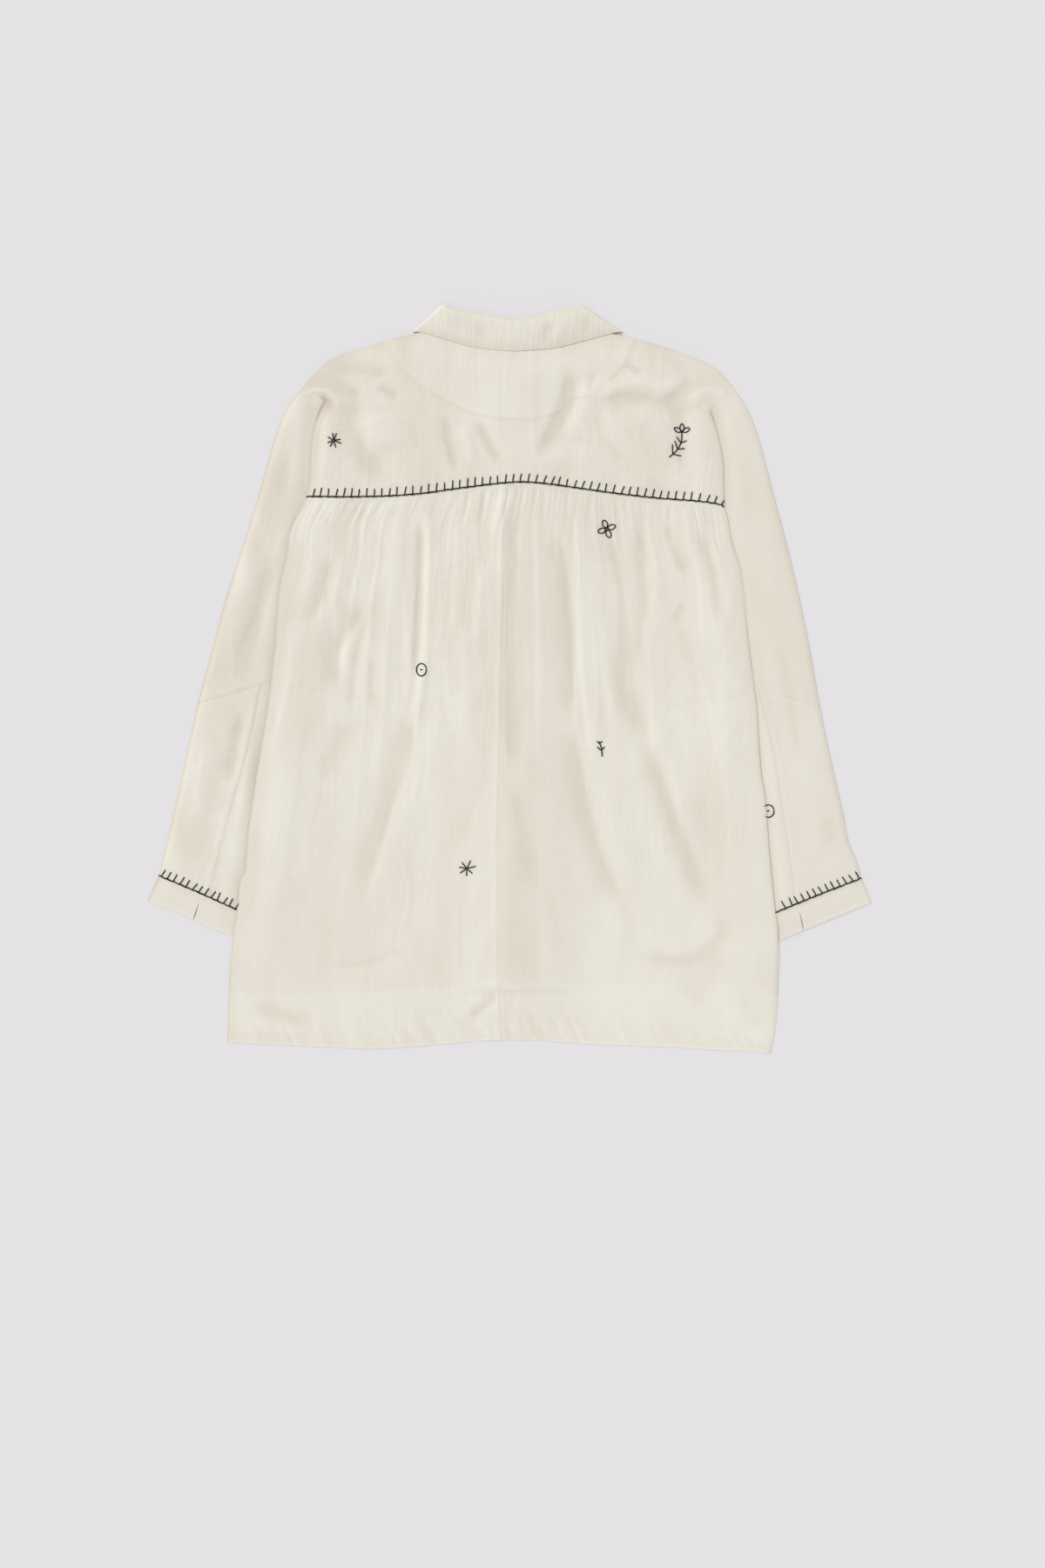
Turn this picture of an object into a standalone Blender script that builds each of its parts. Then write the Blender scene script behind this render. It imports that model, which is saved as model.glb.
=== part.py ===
"""Silk shirt, laid flat on its front with the back uppermost, in metres, +Z up.

The floor is z = 0, +Y runs from hem to collar and +X is the wearer's right. Every piece of cloth is
an open surface through sections, made a wall by Solidify. Layers lie on each other: fronts, neck
facing, yoke and back, with the sleeves tucked under the body's two sides.
"""

import math

import bmesh
import bpy
import numpy as np

# Cloth
WALL = 0.0010
COLLAR_WALL = 0.0012
SEAM_GAP = 0.0003
LONG_SEAM_GAP = 0.0006
STACK = WALL + SEAM_GAP

# Heights of the middle of the wall above the floor
ON_FLOOR = WALL / 2
SLEEVE_INNER_TOP = 0.0023
SLEEVE_OUTER_TOP = 0.0034
SLEEVE_PUFF = 0.0012
BODY_OVER_SLEEVE = 0.0034
BODY_PUFF = 0.0014
BACK_CLEARANCE = 0.0004
LEAST_PUFF_AT_EDGE = 0.0001
LEAST_PUFF_INSIDE = 0.0003

# Where those heights change, as distances from an edge (full, gone) or as y (low, high)
SIDE_LIFT_FADE = (0.022, 0.085)
SHOULDER_LIFT_FADE = (0.270, 0.312)
HEM_LIFT_FADE = (-0.420, -0.315)
PLACKET_FADE = 0.090
FRONT_LAP_FADE = 0.070
FRONT_HEM_STEP = (-0.045, -0.012)
FACING_STEP = (0.005, 0.017)
SIDE_PUFF_REACH = 0.040
SHOULDER_PUFF_REACH = 0.030
HEM_PUFF_REACH = 0.060
EDGE_MARGIN_REACH = 0.030

# Sleeves: the part hidden under the body, and where the upper layer rises beside it
HIDDEN_WIDTH = 0.016
OPEN_SLEEVE_RISE = (0.004, 0.022)
OUTER_FOLD_WIDTH = 0.020
OUTER_FOLD_INSET = 0.0016
UNDER_SEAM = 0.012
CUFF_TOP_RAISE = 0.0002

# Centre front, with the wearer's right over the left
CENTRE_X = 0.011
PLACKET_WIDTH = 0.032
BAND_COLUMNS = 4
PLACKET_LIFT = 0.0022
PLACKET_FLAT = 0.020
BUTTON_RADIUS = 0.0055
BUTTON_THICKNESS = 0.0018
BUTTON_COUNT = 7
BUTTON_TOP_Y = 0.262
BUTTON_PITCH = 0.088

# Colours, linear
SILK = (0.79, 0.74, 0.64, 1.0)
SILK_SHADE = (0.74, 0.69, 0.58, 1.0)
SHELL = (0.80, 0.77, 0.70, 1.0)

# Seams and edges of the back, each from top to bottom or from the wearer's left to right.
# The shoulder cut parts body and sleeve above the pleat that the armhole makes.
SHOULDER_CUT_LEFT = [(-0.221, 0.324), (-0.2015, 0.304)]
SHOULDER_CUT_RIGHT = [(0.240, 0.3235), (0.2185, 0.293)]
ARMHOLE_LEFT = [(-0.2015, 0.304), (-0.207, 0.2925), (-0.213, 0.273), (-0.2165, 0.252), (-0.2175, 0.222),
                (-0.2215, 0.1995)]
ARMHOLE_RIGHT = [(0.2185, 0.293), (0.2235, 0.279), (0.229, 0.2594), (0.2328, 0.2356), (0.2335, 0.210),
                 (0.2340, 0.189)]
SIDE_LEFT = [(-0.2215, 0.1990), (-0.232, 0.180), (-0.2395, 0.161), (-0.245, 0.133), (-0.2525, 0.074),
             (-0.2575, 0.020), (-0.266, -0.043), (-0.2785, -0.124), (-0.2925, -0.217),
             (-0.3025, -0.294), (-0.3055, -0.340), (-0.3085, -0.396)]
SIDE_RIGHT = [(0.2340, 0.1885), (0.2395, 0.171), (0.2435, 0.150), (0.247, 0.133), (0.2535, 0.080),
              (0.2625, 0.025), (0.269, -0.023), (0.2755, -0.100), (0.2825, -0.175),
              (0.2905, -0.260), (0.2925, -0.350), (0.2865, -0.4085)]
YOKE_SEAM = [(-0.2215, 0.1995), (-0.177, 0.1983), (-0.132, 0.1993), (-0.095, 0.2020), (-0.0665, 0.2060),
             (-0.038, 0.2098), (-0.0095, 0.2130), (0.015, 0.2144), (0.0456, 0.2119), (0.080, 0.2071),
             (0.114, 0.2024), (0.1606, 0.1971), (0.206, 0.1936), (0.2340, 0.1890)]
CENTRE_SEAM = [(-0.0045, 0.2138), (-0.0070, 0.100), (-0.0105, -0.050), (-0.0115, -0.190), (-0.0100, -0.393)]
HEM_LEFT = [(-0.3085, -0.396), (-0.221, -0.3995), (-0.150, -0.402), (-0.107, -0.4005), (-0.050, -0.3955),
            (-0.0100, -0.393)]
HEM_RIGHT = [(-0.0100, -0.393), (0.035, -0.394), (0.064, -0.396), (0.121, -0.399), (0.178, -0.401),
             (0.235, -0.4045), (0.2865, -0.4085)]
SHOULDER_LEFT = [(-0.221, 0.324), (-0.2145, 0.332), (-0.205, 0.341), (-0.193, 0.350), (-0.178, 0.3555),
                 (-0.152, 0.363), (-0.130, 0.3705), (-0.094, 0.379)]
SHOULDER_RIGHT = [(0.240, 0.3235), (0.232, 0.332), (0.223, 0.340), (0.206, 0.3485), (0.187, 0.3555),
                  (0.165, 0.363), (0.139, 0.370), (0.106, 0.378)]
BACK_NECK = [(-0.094, 0.379), (-0.060, 0.3705), (-0.020, 0.3635), (0.005, 0.362), (0.035, 0.3635),
             (0.072, 0.3705), (0.106, 0.378)]
FRONT_NECK_LEFT = [(-0.094, 0.379), (-0.084, 0.346), (-0.062, 0.315), (-0.034, 0.2965), (-0.003, 0.2930)]
FRONT_NECK_RIGHT = [(0.106, 0.378), (0.094, 0.346), (0.072, 0.315), (0.046, 0.2965), (0.023, 0.2930)]
FACING_EDGE = [(-0.125, 0.361), (-0.109, 0.330), (-0.080, 0.311), (-0.052, 0.299), (-0.020, 0.289),
               (0.014, 0.2855), (0.052, 0.290), (0.080, 0.303), (0.104, 0.324), (0.122, 0.347),
               (0.131, 0.3635)]
FRONT_HEM_LEFT = [(-0.3020, -0.336), (-0.262, -0.346), (-0.150, -0.343), (-0.033, -0.337), (0.018, -0.335)]
FRONT_HEM_RIGHT = [(0.2905, -0.333), (0.200, -0.331), (0.110, -0.329), (0.040, -0.332), (-0.012, -0.334)]

# Sleeves: a row for each section, from the shoulder to the cuff seam. Its columns are the x and y of
# the outer fold, which shows, those of the inner fold, which lies under the body, and the width of
# the under-sleeve panel on the upper layer.
OUTER = slice(0, 2)
INNER = slice(2, 4)
STRIP = 4
SLEEVE_LEFT = [
    (-0.2222, 0.3226, -0.2043, 0.3034, 0.006),
    (-0.2330, 0.3060, -0.2110, 0.2905, 0.007),
    (-0.2430, 0.2880, -0.2155, 0.2765, 0.009),
    (-0.2560, 0.2560, -0.2065, 0.2490, 0.014),
    (-0.2730, 0.2000, -0.2075, 0.1950, 0.020),
    (-0.2940, 0.1420, -0.2290, 0.1330, 0.024),
    (-0.3110, 0.0860, -0.2365, 0.0780, 0.026),
    (-0.3260, 0.0280, -0.2400, 0.0300, 0.028),
    (-0.3420, -0.0300, -0.2440, 0.0020, 0.029),
    (-0.3580, -0.0860, -0.2550, -0.0700, 0.030),
    (-0.3690, -0.1420, -0.2685, -0.1500, 0.037),
    (-0.3825, -0.2137, -0.2860, -0.2565, 0.046),
]
SLEEVE_RIGHT = [
    (0.2412, 0.3224, 0.2214, 0.2930, 0.006),
    (0.2500, 0.3060, 0.2272, 0.2800, 0.007),
    (0.2600, 0.2880, 0.2305, 0.2680, 0.009),
    (0.2740, 0.2560, 0.2215, 0.2450, 0.013),
    (0.2905, 0.2000, 0.2200, 0.1930, 0.016),
    (0.3040, 0.1420, 0.2300, 0.1330, 0.018),
    (0.3180, 0.0860, 0.2380, 0.0780, 0.019),
    (0.3290, 0.0280, 0.2460, 0.0300, 0.020),
    (0.3405, -0.0330, 0.2505, -0.0020, 0.022),
    (0.3520, -0.0860, 0.2580, -0.0710, 0.030),
    (0.3650, -0.1480, 0.2660, -0.1500, 0.033),
    (0.3835, -0.2170, 0.2780, -0.2590, 0.036),
]
ELBOW_ROW = 8
CUFF_EDGE_LEFT = (-0.3950, -0.2404, -0.2907, -0.2857)
CUFF_EDGE_RIGHT = (0.3950, -0.2430, 0.2820, -0.2900)
CUFF_SLIT_LEFT = 0.485
CUFF_SLIT_RIGHT = 0.655
CUFF_SLIT_WIDTH = 0.0008
CUFF_DEPTHS = (0.0, 0.35, 0.7, 1.0)
FIRST_SLIT_ROW = 1

# Large folds: a row for each, with its name, its half width, its height (a trough is below nought)
# and its path.
BACK_FOLDS = [
    ("side_left", 0.012, -0.0010, [(-0.180, 0.180), (-0.196, 0.130), (-0.222, 0.062)]),
    ("blade_left", 0.011, 0.0016, [(-0.150, 0.180), (-0.168, 0.110), (-0.196, 0.050), (-0.206, 0.010)]),
    ("waist_left", 0.016, -0.0012, [(-0.140, 0.120), (-0.172, 0.050), (-0.190, -0.040), (-0.178, -0.110)]),
    ("long_left", 0.010, 0.0024, [(-0.090, 0.185), (-0.096, 0.020), (-0.116, -0.110), (-0.152, -0.235)]),
    ("long_left_shadow", 0.016, -0.0012,
     [(-0.074, 0.150), (-0.080, 0.000), (-0.100, -0.120), (-0.136, -0.240)]),
    ("centre_left", 0.010, 0.0014, [(-0.052, 0.190), (-0.050, 0.100), (-0.058, 0.000)]),
    ("centre_pleat", 0.007, 0.0022, [(-0.012, 0.205), (-0.013, 0.020), (-0.016, -0.100), (-0.022, -0.170)]),
    ("centre_shadow", 0.011, -0.0012, [(0.008, 0.200), (0.006, 0.030), (0.008, -0.090), (0.020, -0.190)]),
    ("centre_right", 0.008, 0.0016, [(0.028, 0.195), (0.030, 0.100), (0.026, -0.020)]),
    ("long_right_shadow", 0.014, -0.0014,
     [(0.050, 0.180), (0.058, 0.060), (0.070, -0.080), (0.098, -0.210), (0.138, -0.268)]),
    ("long_right", 0.009, 0.0024, [(0.072, 0.195), (0.080, 0.080), (0.088, -0.020), (0.104, -0.120)]),
    ("blade_right", 0.016, -0.0014, [(0.128, 0.150), (0.136, 0.070), (0.132, 0.000), (0.150, -0.060)]),
    ("hip_right", 0.012, 0.0018, [(0.150, 0.030), (0.158, -0.050), (0.186, -0.150), (0.222, -0.240)]),
    ("hip_right_shadow", 0.012, -0.0010,
     [(0.136, -0.020), (0.164, -0.110), (0.196, -0.190), (0.226, -0.285), (0.190, -0.306)]),
    ("side_right", 0.010, 0.0014, [(0.176, 0.175), (0.186, 0.130), (0.194, 0.090)]),
    ("edge_right", 0.009, 0.0014, [(0.214, 0.172), (0.228, 0.120), (0.236, 0.060)]),
    ("corner_right", 0.018, 0.0014, [(0.262, -0.300), (0.236, -0.345), (0.222, -0.385)]),
    ("hem_left", 0.016, 0.0010, [(-0.280, -0.350), (-0.230, -0.357), (-0.190, -0.352)]),
]
YOKE_FOLDS = [
    ("neck_right", 0.011, -0.0012, [(0.066, 0.330), (0.054, 0.300), (0.036, 0.262), (0.026, 0.228)]),
    ("neck_right_ridge", 0.009, 0.0014, [(0.082, 0.318), (0.066, 0.280), (0.050, 0.240)]),
    ("shoulder_right", 0.010, 0.0016, [(0.096, 0.322), (0.150, 0.322), (0.190, 0.334)]),
    ("shoulder_left", 0.011, 0.0015, [(-0.196, 0.322), (-0.160, 0.326), (-0.124, 0.318)]),
    ("blade_left", 0.012, -0.0010, [(-0.150, 0.268), (-0.118, 0.224)]),
    ("armhole_left", 0.010, 0.0016, [(-0.200, 0.300), (-0.203, 0.260), (-0.206, 0.215)]),
    ("armhole_right", 0.010, 0.0016, [(0.212, 0.292), (0.219, 0.255), (0.222, 0.210)]),
    ("centre", 0.008, 0.0010, [(-0.036, 0.290), (-0.030, 0.240)]),
]
SLEEVE_FOLDS = [
    ("left_trough", 0.007, -0.0009, [(-0.268, 0.090), (-0.292, 0.005), (-0.305, -0.090), (-0.316, -0.150)]),
    ("left_ridge", 0.008, 0.0010, [(-0.290, 0.060), (-0.312, -0.040), (-0.328, -0.130)]),
    ("right_ridge", 0.009, 0.0010, [(0.262, 0.150), (0.284, 0.050), (0.308, -0.040), (0.330, -0.140)]),
    ("right_trough", 0.008, -0.0008, [(0.284, 0.130), (0.300, 0.030), (0.318, -0.060)]),
]

# Gathers where the back is eased into the yoke
GATHER_COLUMNS_LEFT = 42
GATHER_COLUMNS_RIGHT = 46
GATHER_HEIGHT = 0.0011
GATHER_FULL_AT = 0.012
GATHER_END = 0.120
BACK_ROWS = (0.0, 0.012, 0.030, 0.060, 0.105, 0.165, 0.240, 0.325, 0.425, 0.535, 0.655, 0.765, 0.868,
             0.940, 1.0)

# Collar: the roll line and the leaf's edge, from the centre back to the front, for each side
ROLL_BACK_LEFT = [(0.005, 0.3905), (-0.030, 0.3965), (-0.050, 0.4015), (-0.0700, 0.4065)]
ROLL_BACK_RIGHT = [(0.005, 0.3905), (0.034, 0.394), (0.056, 0.4005), (0.0755, 0.4055)]
ROLL_FRONT_LEFT = [(-0.0700, 0.4065), (-0.064, 0.372), (-0.045, 0.340), (-0.021, 0.324), (0.004, 0.318)]
ROLL_FRONT_RIGHT = [(0.0755, 0.4055), (0.073, 0.372), (0.055, 0.340), (0.037, 0.324), (0.018, 0.318)]
LEAF_BACK_LEFT = [(0.005, 0.3570), (-0.048, 0.3655), (-0.094, 0.3775), (-0.1045, 0.3790)]
LEAF_BACK_RIGHT = [(0.005, 0.3570), (0.054, 0.3610), (0.090, 0.3695), (0.1200, 0.3780)]
LEAF_FRONT_LEFT = [(-0.1045, 0.3790), (-0.106, 0.345), (-0.090, 0.305), (-0.064, 0.272), (-0.036, 0.248)]
LEAF_FRONT_RIGHT = [(0.1200, 0.3780), (0.116, 0.345), (0.100, 0.305), (0.079, 0.272), (0.058, 0.248)]
ROLL_RADIUS_BACK = 0.0017
ROLL_RADIUS_FRONT = 0.00075
ROLL_HEIGHT_FRONT = 0.00135
LEAF_HEIGHT_FRONT = COLLAR_WALL / 2
NECK_RAISE = 0.0018
NECK_ZONE_CENTRE = (0.008, 0.350)
NECK_ZONE_RADII = (0.150, 0.130)
NECK_ZONE_END = 1.6
STAND_SEAM = 0.0018
COLLAR_BACK_STEPS = 7
COLLAR_TURN_STEPS = 5
COLLAR_FRONT_STEPS = 5


def smoothstep(low, high, value):
    share = np.clip((value - low) / (high - low), 0.0, 1.0)
    return share * share * (3 - 2 * share)


def smooth_path(points, per_span=16):
    """A dense Catmull-Rom line through the points."""
    p = np.array(points, float)
    p = np.vstack([2 * p[0] - p[1], p, 2 * p[-1] - p[-2]])
    t = np.linspace(0, 1, per_span, endpoint=False)[:, None]
    spans = []
    for a, b, c, d in zip(p, p[1:], p[2:], p[3:]):
        spans.append(0.5 * (2 * b + (c - a) * t + (2 * a - 5 * b + 4 * c - d) * t**2
                            + (3 * b - a - 3 * c + d) * t**3))
    return np.vstack([*spans, p[-2]])


def lengths_along(path):
    steps = np.linalg.norm(np.diff(path, axis=0), axis=1)
    return np.concatenate([[0.0], np.cumsum(steps)])


def points_at(path, shares):
    """The path's points at these shares of its length."""
    run = lengths_along(path)
    at = np.asarray(shares) * run[-1]
    return np.stack([np.interp(at, run, path[:, k]) for k in range(path.shape[1])], axis=1)


def even(count):
    return np.linspace(0.0, 1.0, count + 1)


def corner_shares(first, second, first_steps, second_steps):
    """Shares along two joined paths, with one exactly at their corner."""
    corner = lengths_along(first)[-1] / (lengths_along(first)[-1] + lengths_along(second)[-1])
    return np.concatenate([corner * even(first_steps), (corner + (1 - corner) * even(second_steps))[1:]])


def patch(top, bottom, left, right, across, down, down_right=None):
    """Plan points of a cloth panel between four edges: a grid of rows that run from left to right."""
    t, b = points_at(top, across), points_at(bottom, across)
    lft, rgt = points_at(left, down), points_at(right, down if down_right is None else down_right)
    lft[0], lft[-1], rgt[0], rgt[-1] = t[0], b[0], t[-1], b[-1]
    u, v = np.asarray(across)[None, :, None], np.asarray(down)[:, None, None]
    ruled = (1 - v) * t[None] + v * b[None] + (1 - u) * lft[:, None] + u * rgt[:, None]
    corners = ((1 - u) * (1 - v) * t[0] + u * (1 - v) * t[-1] + (1 - u) * v * b[0] + u * v * b[-1])
    return ruled - corners


def distance_to_path(x, y, path):
    """Distance of each point from a path, and the share of the path's length where it is nearest."""
    run = lengths_along(path)
    best, share = np.full(np.shape(x), np.inf), np.zeros(np.shape(x))
    for i, (a, b) in enumerate(zip(path, path[1:])):
        d = b - a
        t = np.clip(((x - a[0]) * d[0] + (y - a[1]) * d[1]) / (d @ d), 0, 1)
        away = np.hypot(x - a[0] - t * d[0], y - a[1] - t * d[1])
        nearer = away < best
        best = np.where(nearer, away, best)
        share = np.where(nearer, (run[i] + t * (run[i + 1] - run[i])) / run[-1], share)
    return best, share


def fold_heights(x, y, folds):
    """The sum of soft ridges and troughs, each fading out at both its ends."""
    total = np.zeros(np.shape(x))
    for _name, half_width, height, points in folds:
        away, share = distance_to_path(x, y, smooth_path(points, 6))
        ends = smoothstep(0.0, 0.25, share) * smoothstep(0.0, 0.25, 1 - share)
        total += height * ends * np.exp(-((away / half_width) ** 2))
    return total


def edge_x(path, y):
    """The x of a side edge that runs down, at each y."""
    return np.interp(-y, -path[:, 1], path[:, 0])


def edge_y(path, x):
    """The y of an edge that runs from left to right, at each x."""
    return np.interp(x, path[:, 0], path[:, 1])


def level_at(path, x):
    """The y of an edge that runs either way across, at x."""
    order = np.argsort(path[:, 0])
    return float(np.interp(x, path[order, 0], path[order, 1]))


BODY_EDGE_LEFT = np.vstack([smooth_path(ARMHOLE_LEFT), smooth_path(SIDE_LEFT)])
BODY_EDGE_RIGHT = np.vstack([smooth_path(ARMHOLE_RIGHT), smooth_path(SIDE_RIGHT)])
ARMHOLE_SIDE_LEFT = np.vstack([smooth_path(SHOULDER_CUT_LEFT)[:-1], smooth_path(ARMHOLE_LEFT)])
ARMHOLE_SIDE_RIGHT = np.vstack([smooth_path(SHOULDER_CUT_RIGHT)[:-1], smooth_path(ARMHOLE_RIGHT)])
FRONT_HEM = np.array([*FRONT_HEM_LEFT[:-1], *reversed(FRONT_HEM_RIGHT[:-1])])
HEM = np.array([*HEM_LEFT[:-1], *HEM_RIGHT])
TOP_EDGE = np.array([*SHOULDER_LEFT[:-1], *BACK_NECK, *reversed(SHOULDER_RIGHT[:-1])])


def inside_sides(x, y):
    """How far a point lies inside the nearer side edge of the body."""
    return np.minimum(x - edge_x(BODY_EDGE_LEFT, y), edge_x(BODY_EDGE_RIGHT, y) - x)


def sleeve_lift(x, y):
    """The body's sides ride up over the sleeves, from the armhole's pleat down to the cuffs."""
    side = 1 - smoothstep(*SIDE_LIFT_FADE, inside_sides(x, y))
    below_shoulder = 1 - smoothstep(*SHOULDER_LIFT_FADE, y)
    return BODY_OVER_SLEEVE * side * below_shoulder * smoothstep(*HEM_LIFT_FADE, y)


def neck_lift(x, y):
    """The fronts lie on the collar's front leaves."""
    across = (x - NECK_ZONE_CENTRE[0]) / NECK_ZONE_RADII[0]
    along = (y - NECK_ZONE_CENTRE[1]) / NECK_ZONE_RADII[1]
    return NECK_RAISE * (1 - smoothstep(1.0, NECK_ZONE_END, np.hypot(across, along)))


def placket_lift(x):
    """The fronts rise over the buttons along the centre front."""
    return PLACKET_LIFT * (1 - smoothstep(PLACKET_FLAT, PLACKET_FADE, np.abs(x - CENTRE_X)))


def front_height(x, y, side):
    """The middle of a front's wall. The wearer's left front lies on the right one at the centre."""
    lift = np.maximum(np.maximum(sleeve_lift(x, y), neck_lift(x, y)), placket_lift(x))
    over = 0.0
    if side == "left":
        over = STACK * (1 - smoothstep(PLACKET_FLAT, FRONT_LAP_FADE, np.abs(x - CENTRE_X)))
    return ON_FLOOR + lift + over


def under_back(x, y):
    """The height that the back and yoke rest at: on the fronts, or on the floor below the front hem."""
    covered = smoothstep(*FRONT_HEM_STEP, y - edge_y(FRONT_HEM, x))
    return ON_FLOOR * (1 - covered) + covered * (front_height(x, y, "left") + STACK + BACK_CLEARANCE)


def facing_zone(x, y):
    """1 over the neck facing, fading to 0 just outside its edge."""
    below = edge_y(np.array(FACING_EDGE), np.clip(x, FACING_EDGE[0][0], FACING_EDGE[-1][0])) - y
    sides = np.maximum(FACING_EDGE[0][0] - x, x - FACING_EDGE[-1][0])
    return 1 - smoothstep(*FACING_STEP, np.maximum(below, sides))


def puff(x, y):
    """Air under the back: none at its sides, shoulders and hem."""
    sides = smoothstep(0.0, SIDE_PUFF_REACH, inside_sides(x, y))
    shoulders = smoothstep(0.0, SHOULDER_PUFF_REACH, edge_y(TOP_EDGE, x) - y)
    hem = smoothstep(0.0, HEM_PUFF_REACH, y - edge_y(HEM, x))
    return BODY_PUFF * sides * shoulders * hem


def back_height(x, y, extra):
    """The middle of the yoke's or back's wall, never lower than what lies under it."""
    rest = under_back(x, y) + STACK * facing_zone(x, y)
    inside = smoothstep(0.0, EDGE_MARGIN_REACH, inside_sides(x, y))
    least = LEAST_PUFF_AT_EDGE + (LEAST_PUFF_INSIDE - LEAST_PUFF_AT_EDGE) * inside
    return rest + np.maximum(puff(x, y) + extra, least)


def gathers(across, down_m, columns):
    """Small pleats, a column to each ridge and each valley, uneven in height, that die out downwards."""
    index = np.arange(columns + 1)
    uneven = 0.68 + 0.32 * np.sin(2.1 * index) * np.cos(0.7 * index + 1.0)
    zigzag = np.where(index % 2 == 0, -0.6, 1.0) * uneven
    zigzag[[0, -1]] = 0.0
    reach = GATHER_END * (0.62 + 0.38 * np.sin(1.3 * index + 0.4))
    grow = 0.30 + 0.70 * smoothstep(0.0, GATHER_FULL_AT, down_m)
    fade = 1 - smoothstep(0.25, 1.0, down_m / reach[None, :])
    return GATHER_HEIGHT * zigzag[None, :] * grow * fade


def material(name, colour, roughness, sheen=0.0):
    made = bpy.data.materials.new(name)
    made.use_nodes = True
    shader = made.node_tree.nodes["Principled BSDF"]
    shader.inputs["Base Color"].default_value = colour
    shader.inputs["Roughness"].default_value = roughness
    shader.inputs["Metallic"].default_value = 0.0
    shader.inputs["Sheen Weight"].default_value = sheen
    return made


def cloth(name, rows, finish, wall=WALL, closed=False, left_out=()):
    """One named piece: a surface through rows of points, made a wall by Solidify.

    closed joins each row's end to its start; left_out holds (row, column) of faces not made.
    """
    rows = np.asarray(rows, float)
    mesh = bpy.data.meshes.new(name)
    bm = bmesh.new()
    grid = [[bm.verts.new(point) for point in row] for row in rows]
    columns = len(grid[0]) if closed else len(grid[0]) - 1
    for r in range(len(grid) - 1):
        for c in range(columns):
            if (r, c) in left_out:
                continue
            n = (c + 1) % len(grid[0])
            bm.faces.new((grid[r][c], grid[r + 1][c], grid[r + 1][n], grid[r][n]))
    bmesh.ops.recalc_face_normals(bm, faces=bm.faces)
    bm.to_mesh(mesh)
    bm.free()
    mesh.materials.append(finish)
    mesh.shade_smooth()
    obj = bpy.data.objects.new(name, mesh)
    shirt.objects.link(obj)
    solid = obj.modifiers.new("wall", "SOLIDIFY")
    solid.thickness = wall
    solid.offset = 0.0
    solid.use_quality_normals = True
    return obj


def with_height(plan, heights):
    return np.concatenate([plan, np.asarray(heights)[..., None]], axis=2)


def shifted(path, dx=0.0, dy=0.0):
    return np.asarray(path, float) + np.array([dx, dy])


def make_yoke():
    """The yoke, from the neck and shoulders to the stitched seam."""
    left, neck, right = smooth_path(SHOULDER_LEFT), smooth_path(BACK_NECK), smooth_path(SHOULDER_RIGHT)[::-1]
    first = corner_shares(left, neck, 10, 16)
    split = lengths_along(np.vstack([left, neck]))[-1]
    whole = split + lengths_along(right)[-1]
    across = np.concatenate([first * split / whole, (split + (whole - split) * even(10)[1:]) / whole])
    top = np.vstack([left, neck, right])
    plan = patch(top, shifted(smooth_path(YOKE_SEAM), dy=LONG_SEAM_GAP / 2), ARMHOLE_SIDE_LEFT,
                 ARMHOLE_SIDE_RIGHT, across,
                 corner_shares(smooth_path(SHOULDER_CUT_LEFT), smooth_path(ARMHOLE_LEFT), 2, 7),
                 corner_shares(smooth_path(SHOULDER_CUT_RIGHT), smooth_path(ARMHOLE_RIGHT), 2, 7))
    x, y = plan[..., 0], plan[..., 1]
    cloth("yoke", with_height(plan, back_height(x, y, fold_heights(x, y, YOKE_FOLDS))), silk)


def make_back(side):
    """Half of the back, gathered at the yoke seam."""
    seam, centre = smooth_path(YOKE_SEAM), smooth_path(CENTRE_SEAM)
    seam_y = edge_y(seam, CENTRE_SEAM[0][0])
    middle = np.array([[CENTRE_SEAM[0][0], seam_y]])
    half_gap = LONG_SEAM_GAP / 2
    if side == "left":
        top = shifted(np.vstack([seam[seam[:, 0] < middle[0, 0]], middle]), dx=-half_gap, dy=-half_gap)
        centre, hem = shifted(centre, dx=-half_gap), shifted(smooth_path(HEM_LEFT), dx=-half_gap)
        left, right, columns = smooth_path(SIDE_LEFT), centre, GATHER_COLUMNS_LEFT
    else:
        top = shifted(np.vstack([middle, seam[seam[:, 0] > middle[0, 0]]]), dx=half_gap, dy=-half_gap)
        centre, hem = shifted(centre, dx=half_gap), shifted(smooth_path(HEM_RIGHT), dx=half_gap)
        left, right, columns = centre, smooth_path(SIDE_RIGHT), GATHER_COLUMNS_RIGHT
    plan = patch(top, hem, left, right, even(columns), BACK_ROWS)
    x, y = plan[..., 0], plan[..., 1]
    down = np.linalg.norm(plan - plan[:1], axis=2)
    extra = fold_heights(x, y, BACK_FOLDS) + gathers(x, down, columns)
    cloth("back_" + side, with_height(plan, back_height(x, y, extra)), silk)


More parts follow.
